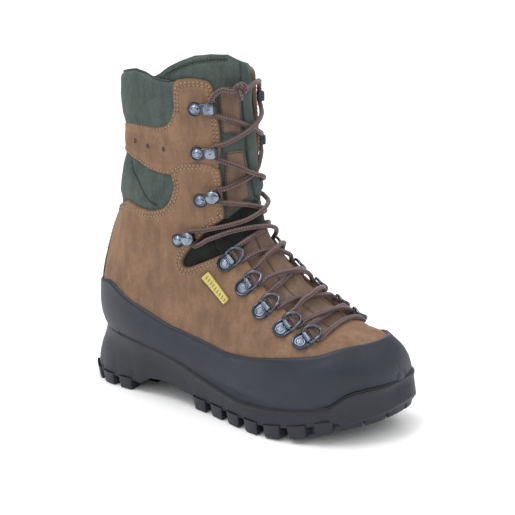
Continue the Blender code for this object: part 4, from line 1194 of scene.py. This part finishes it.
# The x from heel to forefoot where the arch has no lugs, and the x where the toe starts.
ARCH_SPAN = (-88, -24)
TOE_START = 117
# How far the rim lies outside the skin at the toe and behind it.
RIM_OUT = (4.7, 3.3)
# Rows of the outsole's wall: its foot, its rim, and those that the toe bumper moves out.
FOOT_ROWS = (4, 5, 6)
RIM_ROWS = (14, 15, 16, 17, 18)
BUMPER_ROWS = slice(7, 19)
BUMPER_OUT = 1.3


def rocker(x):
    return np.interp(x, *ROCKER_LINE)


def tread_top(x):
    depth = np.interp(x, (110, 124), (TREAD_DEPTH, 4.5))
    return rocker(x) + depth + np.interp(x, *ARCH_LINE)


def seam_angle(station, offset, clearance, side):
    """The angle at which the surface comes down to the seam line, from the front round."""
    def above(angle):
        point = skin(side * angle, station, offset)
        return point[2] > seam_height(point[0]) + clearance

    return bisect(20.0, 178.0, above)


def make_rand():
    stations = [7.9, 7.5, 7.0, 6.5, 6.0, 5.5, 5.0, 4.25, 3.5, 2.75, 2.0, 1.6]

    def foot_line(side):
        """Where the band meets the sole, drawn lower behind the toe."""
        return [(180, 7.9)] + [
            (seam_angle(s, 3.7, -2.2 if s > 2.5 else 0.4, side), s) for s in stations
        ] + [(121, 0.95), (121, 0.03)]

    top = np.array(RAND_TOP + mirrored(RAND_TOP[:-1]), float)
    knots = run_along(top * FLAT)
    fine = curve_through(knots, top, np.linspace(0, knots[-1], 160))
    fine[0], fine[-1] = top[0], top[-1]
    lower = foot_line(1) + mirrored(foot_line(-1))
    outline = [tuple(p) for p in fine] + lower[::-1]
    heights = np.array(RAND_TOP[::-1], float).T

    def free(a, s):
        top_edge = np.interp(abs(a), *heights)
        return abs(a) < 178 and abs(s - top_edge) < 0.35 and s > 0.5

    def puff(d, a, s):
        lip = 0.5 * np.exp(-(((d - 2.4) / 1.5) ** 2))
        return lip - 0.35 * np.exp(-(((d - 5.2) / 1.0) ** 2))

    piece = panel(
        "rand_band", outline, 0.5, 3.1, RAND, edge=1.6, step=2.6, wave=(0.35, 40, 6), free=free,
        puff=puff, skirt=0.3,
    )
    widen_to_rim(piece)
    dress(piece, "foot", "rand")


def reach_to(ring, foot, way):
    """How far a closed plan reaches from a place along a direction."""
    side = np.roll(ring, -1, axis=0) - ring
    cross = way[0] * side[:, 1] - way[1] * side[:, 0]
    cross = np.where(np.abs(cross) < TINY, TINY, cross)
    gap = ring - foot
    reach = (gap[:, 0] * side[:, 1] - gap[:, 1] * side[:, 0]) / cross
    part = (gap[:, 0] * way[1] - gap[:, 1] * way[0]) / cross
    good = (part > -1e-6) & (part < 1 + 1e-6)
    return reach[good].max() if good.any() else 0.0


def widen_to_rim(piece):
    """Brings the band's foot straight down into the outsole's rim, and closes its toe."""
    data = piece.data
    points = np.array([v.co for v in data.vertices]) / MM - SHIFT
    foot = spine_points(points[:, :2])
    way = points[:, :2] - foot
    length = np.maximum(np.linalg.norm(way, axis=1), 1e-6)
    way /= length[:, None]
    above = points[:, 2] - seam_height(points[:, 0])
    flare = np.interp(points[:, 0], (95, 113), (7.0, 0.01))
    weight = np.clip((flare - above) / flare, 0, 1) * (points[:, 0] < 114)
    weight = weight * weight * (3 - 2 * weight)
    for i in np.nonzero(weight > 0)[0]:
        target = reach_to(RIM, foot[i], way[i]) - 0.5
        if target > length[i]:
            points[i, :2] = foot[i] + way[i] * (length[i] + (target - length[i]) * weight[i])
    for vertex, place in zip(data.vertices, (points + SHIFT) * MM):
        vertex.co = place
    ring = skin(np.arange(-150, 151, 12.5), 0.035, 3.15)
    middle = ring.mean(0) + np.array((0.5, 0, 0))
    rows = np.vstack([ring, ring * 0.5 + middle * 0.5 + np.array((0.25, 0, 0)), middle[None]])
    count = len(ring)
    faces = grid_faces(2, count, True)
    faces += [(count + k, count + (k + 1) % count, 2 * count) for k in range(count)]
    tip = mesh_object("rand_tip", rows, faces, RAND, {"edge": np.full(len(rows), FAR_OFF)})
    dress(tip, "foot")


def around_sole(count):
    """Points evenly round the plan of the outsole."""
    points = np.array(SOLE_PLAN, float)
    looped = np.vstack([points[-3:], points, points[:4]])
    places = np.linspace(0, len(points), count * 8, endpoint=False)
    fine = curve_through(np.arange(-3, len(points) + 4), looped, places)
    return evenly(np.vstack([fine, fine[:1]]), count, True)


def spine_points(plan):
    first, last = (np.array(p, float) for p in SOLE_SPINE)
    way = last - first
    t = np.clip(((plan - first) @ way) / (way @ way), 0, 1)
    return first + t[:, None] * way


def around_rim(plan):
    """The plan of the outsole's rim, just outside the rand all round."""
    stations = np.concatenate([np.linspace(0.3, 1.5, 14), np.linspace(1.6, 8.1, 40)])
    edge = []
    for side in (1, -1):
        for station in stations if side == 1 else stations[::-1]:
            out = np.interp(station, (1.7, 2.3), RIM_OUT)
            angle = seam_angle(station, out, 0.0, side)
            if station < 7:
                angle = min(angle, 122.0)
            edge.append(skin(side * angle, station, out)[:2])
        if side == 1:
            edge.append(skin(180, 8.15, RIM_OUT[1])[:2])
    edge.append(skin(0, 0.2, RIM_OUT[0])[:2])
    edge = np.array(edge)
    rim = []
    for foot, point in zip(spine_points(plan), plan):
        way = unit(point - foot)
        rim.append(foot + way * reach_to(edge, foot, way))
    rim = np.array(rim)
    for _ in range(10):
        rim = (np.roll(rim, 1, axis=0) + 2 * rim + np.roll(rim, -1, axis=0)) / 4
    return rim


PLAN = around_sole(SAMPLES)
RIM = around_rim(PLAN)


def ring_at(plan, height, inset=0.0):
    spine = spine_points(plan)
    way = plan - spine
    length = np.linalg.norm(way, axis=1, keepdims=True)
    inset = np.broadcast_to(np.asarray(inset, float), (len(plan),))[:, None]
    moved = spine + way * np.maximum(length - inset, 0.12 * length) / length
    return np.column_stack([moved, height(moved[:, 0])])


def make_outsole():
    """The sole unit: a side wall with a rim, the hollow arch, and chamfered tread blocks."""
    plan, rim = PLAN, RIM
    turn = np.arange(SAMPLES) / PER_LUG % 1.0
    x_of = plan[:, 0]
    forefoot = np.clip((x_of + 35) / 12, 0, 1)
    heel = np.clip((-86 - x_of) / 6, 0, 1)
    on_arch = (x_of > ARCH_SPAN[0]) & (x_of < ARCH_SPAN[1])

    # Each side block is a shallow step in the wall between two grooves.
    block = np.clip((turn - 0.08) / 0.06, 0, 1) * np.clip((0.88 - turn) / 0.06, 0, 1)
    block = np.where(on_arch, 0, np.where(x_of > TOE_START, 1, block))
    dip = (1 - block) * (forefoot + heel * 0.55) * 1.5

    def between(t):
        return plan * (1 - t) + rim * t

    def level(t):
        """Heights from the tread's foot (0) to the rim (1)."""
        return lambda x: (tread_top(x) * (1 - t) + seam_height(x) * t)

    rows = [ring_at(plan, tread_top, inset) for inset in (1e6, 26.0, 14.0, 5.0, 1.8 + dip)]
    rows += [
        ring_at(plan, lambda x: tread_top(x) + 0.5, 1.0 + dip),
        ring_at(plan, lambda x: tread_top(x) + 1.6, 0.6 + dip),
        ring_at(between(0.08), lambda x: tread_top(x) + 3.2, 0.4 + dip * 0.75),
        ring_at(between(0.2), level(0.32), 0.5 + dip * 0.25),
    ]
    rows += [
        ring_at(between(t), level(up), inset)
        for t, up, inset in (
            (0.35, 0.5, 0.7), (0.5, 0.62, 0.8), (0.68, 0.74, 0.8), (0.8, 0.82, 0.7),
        )
    ]
    rows += [
        ring_at(rim, lambda x, d=down: seam_height(x) - d, inset)
        for down, inset in (
            (2.0, 0.05), (1.3, 0.0), (0.8, 0.0), (0.4, 0.15),
            (0.1, 0.45), (-0.05, 0.9), (0.1, 1.5), (0.7, 2.1), (2.2, 3.1), (5.0, 3.8),
        )
    ]
    for row in rows[BUMPER_ROWS]:
        # The toe bumper stands proud of the wall, from a slanting edge behind the toe.
        behind = np.interp(row[:, 2], (20, 31, 36, 40), (111.8, 113.0, 116.4, 119.6))
        way = unit(row[:, :2] - spine_points(row[:, :2]))
        row[:, :2] += way * (np.clip((row[:, 0] - behind) / 1.6, 0, 1) * BUMPER_OUT)[:, None]
    faces = turned_over(grid_faces(len(rows), SAMPLES, True)) + [tuple(range(SAMPLES))]
    row_of = np.repeat(np.arange(len(rows)), SAMPLES)
    # The rim rows take the rubber's lighter edge colour: partly scuffing, partly a painted highlight
    # along the rim.
    rim_scuff_and_highlight = np.where(np.isin(row_of, RIM_ROWS), 1.0, 9.0)
    parts = [(np.vstack(rows), faces)]
    edges = [np.where(np.isin(row_of, FOOT_ROWS), 0.4, rim_scuff_and_highlight)]
    grooves = [np.where(row_of > RIM_ROWS[-1] + 1, 0.2, FAR_OFF)]

    def at(place, inset):
        i = int(math.floor(place)) % SAMPLES
        part = place - math.floor(place)
        point = plan[i] * (1 - part) + plan[(i + 1) % SAMPLES] * part
        return point + unit(spine_points(point[None])[0] - point) * inset

    def tread(corners, base=3.05):
        """A block from the tread's foot down to the ground, its lower edges chamfered."""
        corners = np.array(corners, float)
        ring = []
        for before, here, after in zip(np.roll(corners, 1, 0), corners, np.roll(corners, -1, 0)):
            a, b = (
                here + unit(way) * min(LUG_CORNER, np.linalg.norm(way) * 0.4)
                for way in (before - here, after - here)
            )
            for t in (0, 0.5, 1):
                ring.append((1 - t) ** 2 * a + 2 * t * (1 - t) * here + t * t * b)
        ring = np.array(ring)
        way = ring - ring.mean(0)
        levels = []
        for shrink, lift in ((-1.3, base), (0.1, 1.4), (0.6, 0.55), (1.3, 0.0), (2.5, 0.0)):
            spots = ring - unit(way) * shrink
            below = tread_top if lift == base else rocker
            levels.append(np.column_stack([spots, below(spots[:, 0]) + lift]))
        count = len(ring)
        sides = grid_faces(len(levels), count, True) + end_faces(len(levels), count)[1:]
        parts.append((np.vstack(levels), turned_over(sides) if signed_area(ring) > 0 else sides))
        edges.append(np.repeat((9.0, 2.0, 0.3, 0.6, 9.0), count))
        grooves.append(np.full(len(levels) * count, FAR_OFF))

    for i in range(LUG_COUNT):
        place = i * PER_LUG
        x = plan[int(place + 0.5 * PER_LUG) % SAMPLES][0]
        if ARCH_SPAN[0] < x < ARCH_SPAN[1]:
            continue
        toe = x > TOE_START
        first = place + (0.04 if toe else 0.15) * PER_LUG
        last = place + (0.96 if toe else 0.8) * PER_LUG
        middle = (first + last) / 2
        draw = 2.5 if toe else 0.4
        tread([
            at(first, draw + 0.1), at(middle, draw), at(last, draw + 0.1),
            at(last - 0.05 * PER_LUG, 13.0), at(middle + 0.1 * PER_LUG, 18.6),
            at(first + 0.16 * PER_LUG, 18.2),
        ], 3.1)
    for x, half in ((-118, 14), (-97, 14), (5, 20), (28, 27), (52, 30), (76, 28), (100, 21)):
        if x < -50:
            tread([(x - 5.5, -half), (x + 5.5, -half), (x + 5.5, half), (x - 5.5, half)])
            continue
        # The middle of the forefoot carries pairs of chevron blocks.
        for sign in (1, -1):
            tread([
                (x - 5.5, sign * 2.0), (x + 5.5, sign * 2.0), (x + 5.5, sign * half * 0.6),
                (x + 1.5, sign * half), (x - 5.5, sign * half * 0.8),
            ])
    points, faces = gathered(parts)
    sole = mesh_object(
        "outsole_rubber", points, faces, SOLE,
        {"edge": np.concatenate(edges), "groove": np.concatenate(grooves)},
    )
    sharp_by_angle(sole, 38)
    dress(sole, "foot", "outsole")
    # A near-black tube along the groove between sole and rand: painted shade in the groove.
    line = ring_at(rim, lambda x: seam_height(x) + 0.55, 0.5)
    points, faces, _, _ = sweep(line, 0.85, 8, closed=True)
    seam = mesh_object("sole_groove_shade", points, faces, SEAM_SHADE)
    dress(seam, "foot")


def sharp_by_angle(piece, degrees):
    """Marks the edges between faces that meet at more than the angle."""
    bm = bmesh.new()
    bm.from_mesh(piece.data)
    limit = math.radians(degrees)
    for edge in bm.edges:
        if len(edge.link_faces) == 2 and edge.calc_face_angle(0.0) > limit:
            edge.smooth = False
    bm.to_mesh(piece.data)
    bm.free()


# ---------------------------------------------------------------- lace hardware

LOOPS = (
    ((50, 2.62), (33.5, 2.37)),
    ((50.5, 3.27), (34, 3.02)),
    ((51, 4.08), (33.5, 3.82)),
    ((50.5, 5.0), (33.5, 4.68)),
    ((51, 6.12), (35, 5.84)),
)
HOOKS = (
    ((67, 8.2), (54.5, 7.78)),
    ((52, 9.15), (37.5, 8.95)),
    ((57, 11.1), (40.5, 10.92)),
    ((56, 12.25), (39.5, 12.2)),
)
RIVET_D = -7.5
BARREL_D, BARREL_H = -1.0, 2.6
RING_TIP = 11.2
LACE_RADIUS = 1.95
LOOP_LACE = (4.4, 2.1)
LOOP_REACH = 5.4
HOOK_LACE = (5.4, 3.7)
HOOK_REACH = 2.9
EDGE_LIFT = 3.3
LACE_LOW, LACE_HIGH = -0.1, 3.9
KNOT_PLACE = (16.0, 12.52)
METAL_UP = 0.9


class Fitting:
    """The frame of a loop or hook on the skin: along to its tip, out from the leather."""

    def __init__(self, side, rivet, tip):
        sign = 1 if side == "lateral" else -1
        first = skin(sign * rivet[0], rivet[1])
        last = skin(sign * tip[0], tip[1])
        angle = sign * (rivet[0] + tip[0]) / 2
        station = (rivet[1] + tip[1]) / 2
        self.origin = skin(angle, station)
        self.out = outward(angle, station)
        way = last - first
        way = way - self.out * (way @ self.out)
        self.along = unit(way)
        self.across = np.cross(self.out, self.along)
        rising = skin(angle, station + 0.1) - self.origin
        self.up_sign = 1 if rising @ self.across > 0 else -1

    def point(self, along, up, out):
        return (
            self.origin
            + self.along * along
            + self.across * (up * self.up_sign)
            + self.out * out
        )

    def place(self, points):
        """Points in the fitting's own frame as points on the boot."""
        points = np.asarray(points, float)
        return (
            self.origin
            + points[:, :1] * self.along
            + points[:, 1:2] * self.across
            + points[:, 2:] * self.out
        )

    def add(self, name, parts, look, body, *nodes, sharp=35):
        """A piece from parts in the fitting's own frame."""
        made = mesh_object(name, *gathered([(self.place(p), f) for p, f in parts]), look)
        sharp_by_angle(made, sharp)
        dress(made, body, *nodes)


def arc(x, y, radius, first, last, count=14):
    return [
        (x + radius * math.cos(math.radians(a)), y + radius * math.sin(math.radians(a)))
        for a in np.linspace(first, last, count)
    ]


def rivet_head(x, low, radius=3.6):
    """A low domed rivet with a turned step and a dimple."""
    r = radius
    profile = (
        (r + 0.5, low), (r + 0.5, low + 0.35), (r + 0.3, low + 0.6), (r + 0.05, low + 0.65),
        (r - 0.2, low + 0.6), (r - 0.35, low + 0.7), (r - 0.6, low + 1.1), (r - 1.0, low + 1.45),
        (r - 1.5, low + 1.62), (r - 1.75, low + 1.6), (r - 1.9, low + 1.42), (0.7, low + 1.4),
        (0.3, low + 1.45),
    )
    return lathe(profile, 32, x)


def clip_parts():
    """A loop's plate with a raised border, its rivet, and the rolled barrel for the ring."""
    outline = arc(RIVET_D + 0.6, 0, 6.5, 95, 265, 26) + [
        (-4.6, -6.6), (-2.4, -6.3), (-0.6, -5.6), (1.4, -4.9), (1.4, 4.9), (-0.6, 5.6),
        (-2.4, 6.3), (-4.6, 6.6),
    ]
    plate = slab(outline, METAL_UP - 0.7, METAL_UP + 0.75, 0.3)
    border = [(-1.4, 5.7, METAL_UP + 1.2), (-4.0, 6.1, METAL_UP + 0.9)]
    border += [(*p, METAL_UP + 0.8) for p in arc(RIVET_D + 0.6, 0, 6.0, 80, 280, 36)]
    border += [(-4.0, -6.1, METAL_UP + 0.9), (-1.4, -5.7, METAL_UP + 1.2)]
    rim = sweep(border, 0.95, 10)[:2]
    rivet = rivet_head(RIVET_D + 0.2, METAL_UP + 0.5, 3.5)
    half = 4.1
    profile = (
        (1.2, -half), (2.0, -half + 0.05), (2.25, -half + 0.4), (2.25, -1.4), (2.1, -1.2),
        (2.1, 1.2), (2.25, 1.4), (2.25, half - 0.4), (2.0, half - 0.05), (1.2, half),
    )
    points, faces = lathe(profile, 20)
    barrel = np.column_stack([points[:, 0] + BARREL_D, points[:, 2], points[:, 1] + BARREL_H])
    return (plate, rim), (rivet,), ((barrel, turned_over(faces)),)


def ring_line():
    half = [
        (BARREL_D, 3.8, BARREL_H), (BARREL_D - 0.2, 5.6, BARREL_H + 0.5), (0.8, 6.3, 4.4),
        (3.4, 6.2, 5.3), (6.8, 5.2, 5.3), (9.6, 3.1, 4.4),
    ]
    points = half + [(RING_TIP, 0, 3.6)] + [(x, -y, z) for x, y, z in reversed(half)]
    loop = np.array(points + points[:1])
    knots = run_along(loop)
    return curve_through(knots, loop, np.linspace(0, knots[-1], 90, endpoint=False))


def hook_parts(domed):
    """An open hook: riveted foot, folded strap, and the flap that holds the lace."""
    line = np.array(
        [(-6.0, 1.0), (-2.0, 1.0), (2.0, 1.0), (6.4, 1.0)]
        + arc(7.6, 2.3, 1.3, -90, 0, 6) + [(8.9, 3.4), (8.9, 4.6)] + arc(7.6, 5.1, 1.3, 0, 90, 6)
        + [(6.0, 6.4), (3.6, 6.4), (1.4, 6.35), (0.9, 6.3)]
    )
    way = unit(ways(line, False))
    normal = np.stack([-way[:, 1], way[:, 0]], 1)
    width = np.full(len(line), 3.8)
    if domed:
        width[:4] = (3.4, 3.0, 2.9, 3.0)
        width[4:] = 3.2
    else:
        width[:4] = (3.6, 3.5, 3.7, 3.8)
        width[-4:] = (3.9, 4.1, 4.1, 3.9)
    rows = []
    for place, out, w in zip(line, normal, width):
        section = [
            (-w, 0.35), (-w, -0.35), (-w + 0.25, -0.6), (w - 0.25, -0.6), (w, -0.35), (w, 0.35),
            (w - 0.25, 0.6), (-w + 0.25, 0.6),
        ]
        rows.append([(place[0] + out[0] * b, a, place[1] + out[1] * b) for a, b in section])
    points = np.vstack(rows)
    points[:, 2] += METAL_UP - 0.6
    strap = points, turned_over(grid_faces(len(rows), 8, True) + end_faces(len(rows), 8))
    foot = lathe((
        (5.2, 0.2), (5.6, 0.5), (5.6, 1.3), (5.35, 1.75), (4.9, 1.95), (4.3, 1.85), (3.9, 1.7),
    ), 36, RIVET_D)
    rivet = rivet_head(RIVET_D, METAL_UP + 0.55, 3.4)
    if domed:
        cap = lathe((
            (4.6, 5.7), (5.3, 6.1), (5.5, 6.7), (5.2, 7.5), (4.5, 8.1), (3.5, 8.5), (2.3, 8.75),
            (1.1, 8.85), (0.3, 8.87),
        ), 36, 3.9)
        return (strap, foot), (rivet, cap), ()
    outline = arc(2.2, 1.6, 2.5, 180, 90, 6) + arc(6.0, 2.4, 1.7, 90, 0, 5)
    flap = slab(outline + [(x, -y) for x, y in reversed(outline)], 6.3, 7.6, 0.35)
    slot = slab([(2.8, -0.4), (5.0, -0.4), (5.0, 0.4), (2.8, 0.4)], 7.5, 7.66, 0.05)
    return (strap, foot), (rivet, flap), (slot,)


def make_hardware():
    plates, rivet, barrel = clip_parts()
    ring = ring_line()
    for side in ("lateral", "medial"):
        for number, places in enumerate(LOOPS, 1):
            spot, tag = Fitting(side, *places), f"{side}_{number}"
            spot.add(f"loop_plate_{tag}", plates, STEEL, "foot", f"clip_{tag}")
            spot.add(f"loop_rivet_{tag}", rivet, BRIGHT, "foot")
            spot.add(f"loop_barrel_{tag}", barrel, BRIGHT, "foot")
            points, faces = sweep(spot.place(ring), 1.25, 12, closed=True)[:2]
            wire = mesh_object(f"loop_ring_{tag}", points, faces, WIRE)
            dress(wire, f"ring_{tag}_body", f"ring_{tag}")
        for number, places in enumerate(HOOKS, 1):
            spot, tag = Fitting(side, *places), f"{side}_{number}"
            body, bright, slots = hook_parts(domed=number <= 2)
            spot.add(f"hook_body_{tag}", body, STEEL, "cuff", f"hook_{tag}", sharp=32)
            spot.add(f"hook_rivet_{tag}", bright, BRIGHT, "cuff")
            if slots:
                spot.add(f"hook_slot_{tag}", slots, STEEL, "cuff", sharp=180)


# ---------------------------------------------------------------- lace

def other(side):
    return "medial" if side == "lateral" else "lateral"


def through(side, number, kind):
    rivet, tip = (LOOPS if kind == "loop" else HOOKS)[number - 1]
    spot = Fitting(side, rivet, tip)
    along, out = LOOP_LACE if kind == "loop" else HOOK_LACE
    reach = LOOP_REACH if kind == "loop" else HOOK_REACH
    return [spot.point(along, up, out) for up in (-reach, -reach / 2, 0, reach / 2, reach)]


def front_grid():
    angles, stations = np.meshgrid(np.arange(-50, 51, 2.0), np.arange(1.8, 13.2, 0.04))
    return skin(angles, stations).reshape(-1, 3), normals(
        stations.ravel(), np.radians(angles.ravel())
    )


FRONT = front_grid()
# The part of the way across, and how far the lace has risen there to its height.
CROSSING_LIFT = ((0.14, 0.2), (0.27, 0.75), (0.42, 1.0), (0.58, 1.0), (0.73, 0.75), (0.86, 0.2))


def crossing(start, end, height):
    """Points that follow a straight pull between two places, over the tongue."""
    start, end = np.array(start), np.array(end)
    spots, out = FRONT
    near = [out[np.argmin(np.linalg.norm(spots - p, axis=1))] for p in (start, end)]
    way = unit(near[0] + near[1])
    found = []
    for part, lift in CROSSING_LIFT:
        chord = start + (end - start) * part
        gap = spots - chord
        along = gap @ way
        miss = np.linalg.norm(gap - along[:, None] * way, axis=1) + np.where(along < -6, 50, 0)
        best = np.argmin(miss)
        off = EDGE_LIFT * (1 - lift) + height * lift
        found.append(spots[best] + out[best] * off)
    return found


def smooth_route(points, spacing=0.8):
    points = np.array(points, float)
    knots = run_along(points)
    fine = curve_through(knots, points, np.linspace(0, knots[-1], len(points) * 24))
    return evenly(fine, max(2, round(run_along(fine)[-1] / spacing)))


def climb(side, kind, count, height):
    route = []
    here = side
    for number in range(1, count + 1):
        passed = through(here, number, kind)
        if route:
            route += crossing(route[-1], passed[0], height)
        route += passed
        here = other(here)
    return route, other(here)


def lay(name, path, node, body=None, closed=False, scale=1.0):
    """A length of lace along a path."""
    points, faces, along, turn = sweep(
        path, LACE_RADIUS * scale, 16, flat=0.92, braid=0.035, closed=closed,
    )
    more = {"along": along, "around": 4 * np.abs(turn - math.pi), "rim": np.cos(turn)}
    made = mesh_object(name, points, faces, LACE, more)
    if body:
        dress(made, body, node)
    else:
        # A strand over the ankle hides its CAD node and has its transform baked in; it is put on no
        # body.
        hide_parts(node)
        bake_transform(made)


def make_lace():
    first, _ = climb("lateral", "loop", 5, LACE_LOW)
    second, _ = climb("medial", "loop", 5, LACE_HIGH)
    bar = [skin(a, 2.14, 3.0) for a in (-24, -8, 8, 24)]
    lay("lace_over_foot", smooth_route(second[::-1] + bar + first), "lace_lower", "foot")
    for letter, side, height in (("a", "lateral", LACE_LOW), ("b", "medial", LACE_HIGH)):
        start = through(side, 5, "loop")[-1]
        hook = Fitting(other(side), *HOOKS[0])
        end = hook.point(HOOK_LACE[0] + 0.4, -HOOK_REACH - 2.4, HOOK_LACE[1])
        strand, last = climb(other(side), "hook", 4, height)
        route = [start] + crossing(start, end, height) + [end, strand[0]]
        lay(f"lace_over_ankle_{letter}", smooth_route(route), f"lace_ankle_{letter}")
        sign = 1 if last == "lateral" else -1
        strand += [
            skin(KNOT_PLACE[0] + sign * over, KNOT_PLACE[1] + up, out)
            for over, up, out in ((17, 0.08, 5.0), (10, 0.02, 5.4), (3, 0, 5.0))
        ]
        lay(f"lace_over_shaft_{letter}", smooth_route(strand), f"lace_upper_{letter}", "cuff")
    centre = skin(*KNOT_PLACE, 5.0)
    side, up, out = axes_at(*KNOT_PLACE)
    points = []
    for t in np.linspace(0, 2 * math.pi, 120, endpoint=False):
        x = (math.sin(t) + 2 * math.sin(2 * t)) * 1.6
        y = (math.cos(t) - 2 * math.cos(2 * t)) * 2.2
        points.append(centre + side * x + up * y - out * math.sin(3 * t) * 2.1)
    lay("lace_knot_tied", points, "lace_knot", "cuff", closed=True, scale=0.95)


# ---------------------------------------------------------------- hidden parts

def make_midsole():
    """The foam wedge, drawn in a little so that the sole unit covers it all round."""
    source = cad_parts["midsole"]
    place = source.matrix_world
    points = np.array([place @ v.co for v in source.data.vertices]) / MM - SHIFT
    foot = spine_points(points[:, :2])
    way = points[:, :2] - foot
    length = np.maximum(np.linalg.norm(way, axis=1, keepdims=True), 1e-6)
    points[:, :2] = foot + way * np.maximum(length - 5.0, length * 0.3) / length
    faces = [tuple(p.vertices) for p in source.data.polygons]
    far = np.full(len(points), FAR_OFF)
    piece = mesh_object("midsole_foam", points, faces, FOAM, {"edge": far, "groove": far})
    dress(piece, "foot", "midsole")


def show_hidden():
    """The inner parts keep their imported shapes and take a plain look."""
    looks = {
        "shank": metal("steel_shank", (0.42, 0.44, 0.47), 0.3),
        "insole_board": cloth("board_insole", (150, 132, 104), (168, 150, 120), 600, 0.1),
        "heel_counter": INNER,
        "toe_puff": INNER,
    }
    for name, look in looks.items():
        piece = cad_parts[name]
        for key in ("edge", "groove"):
            made = piece.data.attributes.new(key, "FLOAT", "POINT")
            made.data.foreach_set("value", np.full(len(piece.data.vertices), FAR_OFF, np.float32))
        piece.material_slots[0].material = look


# ---------------------------------------------------------------- the boot

make_leather()
make_cuff()
make_vents()
make_pads()
make_backstay()
make_tongue()
make_linings()
make_label()
make_rand()
make_outsole()
make_hardware()
make_lace()
make_threads("leather", THREAD, "bend")
make_threads("cuff", THREAD, "cuff")
make_threads("tongue", THREAD_GREEN, "cuff")
make_midsole()
show_hidden()


# ---------------------------------------------------------------- camera and light

# Degrees round the boot, above the floor and rolled, and metres from the aim.
CAMERA_ANGLES = (39.21, 15.738, -2.181)
CAMERA_DISTANCE = 1.17007
# Half the floor's side, in metres.
FLOOR = 6.0
# Each light's name, its place to the right, up and towards the camera, its size and watts.
LIGHTS = (
    ("key", (-0.5, 1.5, 0.6), 1.0, 13),
    ("fill", (1.5, 0.5, 0.9), 1.2, 4),
    ("rear", (0.2, 1.2, -1.3), 1.0, 6),
    ("low", (-0.9, 0.1, 1.4), 1.0, 3),
)


def camera_view():
    """The camera as fitted to the photo; returns its right, up and backward directions."""
    turn, rise, roll = map(math.radians, CAMERA_ANGLES)
    level = Vector((math.sin(turn), -math.cos(turn), 0))
    back = level * math.cos(rise) + Vector((0, 0, math.sin(rise)))
    right0 = Vector((math.cos(turn), math.sin(turn), 0))
    up0 = back.cross(right0)
    right = right0 * math.cos(roll) + up0 * math.sin(roll)
    up = up0 * math.cos(roll) - right0 * math.sin(roll)
    target = Vector((*SHIFT[:2], 140)) * MM
    data = bpy.data.cameras.new("camera")
    data.lens = 100.69
    data.sensor_width = 36
    data.shift_x = 0.0282
    data.shift_y = -0.0355
    data.clip_start = 0.05
    made = bpy.data.objects.new("camera", data)
    matrix = Matrix((right, up, back)).transposed().to_4x4()
    matrix.translation = target + back * CAMERA_DISTANCE
    made.matrix_world = matrix
    bpy.context.scene.collection.objects.link(made)
    bpy.context.scene.camera = made
    return right, up, back


def area_light(name, place, target, size, power):
    data = bpy.data.lights.new(name, "AREA")
    data.shape = "DISK"
    data.size = size
    data.energy = power
    made = bpy.data.objects.new(name, data)
    made.location = place
    made.rotation_euler = (target - place).to_track_quat("-Z", "Y").to_euler()
    bpy.context.scene.collection.objects.link(made)


def studio():
    world = bpy.data.worlds.new("studio")
    bpy.context.scene.world = world
    world.use_nodes = True
    background = world.node_tree.nodes["Background"]
    background.inputs["Strength"].default_value = 1.0
    tree = world.node_tree
    place = tree.nodes.new("ShaderNodeTexCoord")
    axes = tree.nodes.new("ShaderNodeSeparateXYZ")
    ramp = tree.nodes.new("ShaderNodeValToRGB")
    tree.links.new(place.outputs["Generated"], axes.inputs[0])
    tree.links.new(axes.outputs["Z"], ramp.inputs[0])
    tree.links.new(ramp.outputs[0], background.inputs["Color"])
    stops = ramp.color_ramp.elements
    stops[0].position, stops[0].color = 0.0, (0.16, 0.17, 0.19, 1)
    stops[1].position, stops[1].color = 0.62, (1.3, 1.3, 1.3, 1)
    middle = stops.new(0.22)
    middle.color = (0.44, 0.45, 0.47, 1)
    data = bpy.data.meshes.new("floor")
    corners = [(FLOOR * x, FLOOR * y, 0) for x, y in ((-1, -1), (1, -1), (1, 1), (-1, 1))]
    data.from_pydata(corners, [], [(0, 1, 2, 3)])
    look = bpy.data.materials.new("floor_pale")
    look.use_nodes = True
    shader = look.node_tree.nodes["Principled BSDF"]
    shader.inputs["Base Color"].default_value = (0.93, 0.93, 0.93, 1)
    shader.inputs["Roughness"].default_value = 0.9
    shader.inputs["Specular IOR Level"].default_value = 0.1
    data.materials.append(look)
    floor = bpy.data.objects.new("floor", data)
    bpy.context.scene.collection.objects.link(floor)
    right, up, back = camera_view()
    target = Vector((0.0, 0.0, 0.14))
    for name, (over, high, near), size, power in LIGHTS:
        area_light(name, target + right * over + up * high + back * near, target, size, power)
    bpy.context.scene.view_settings.view_transform = "Standard"


studio()
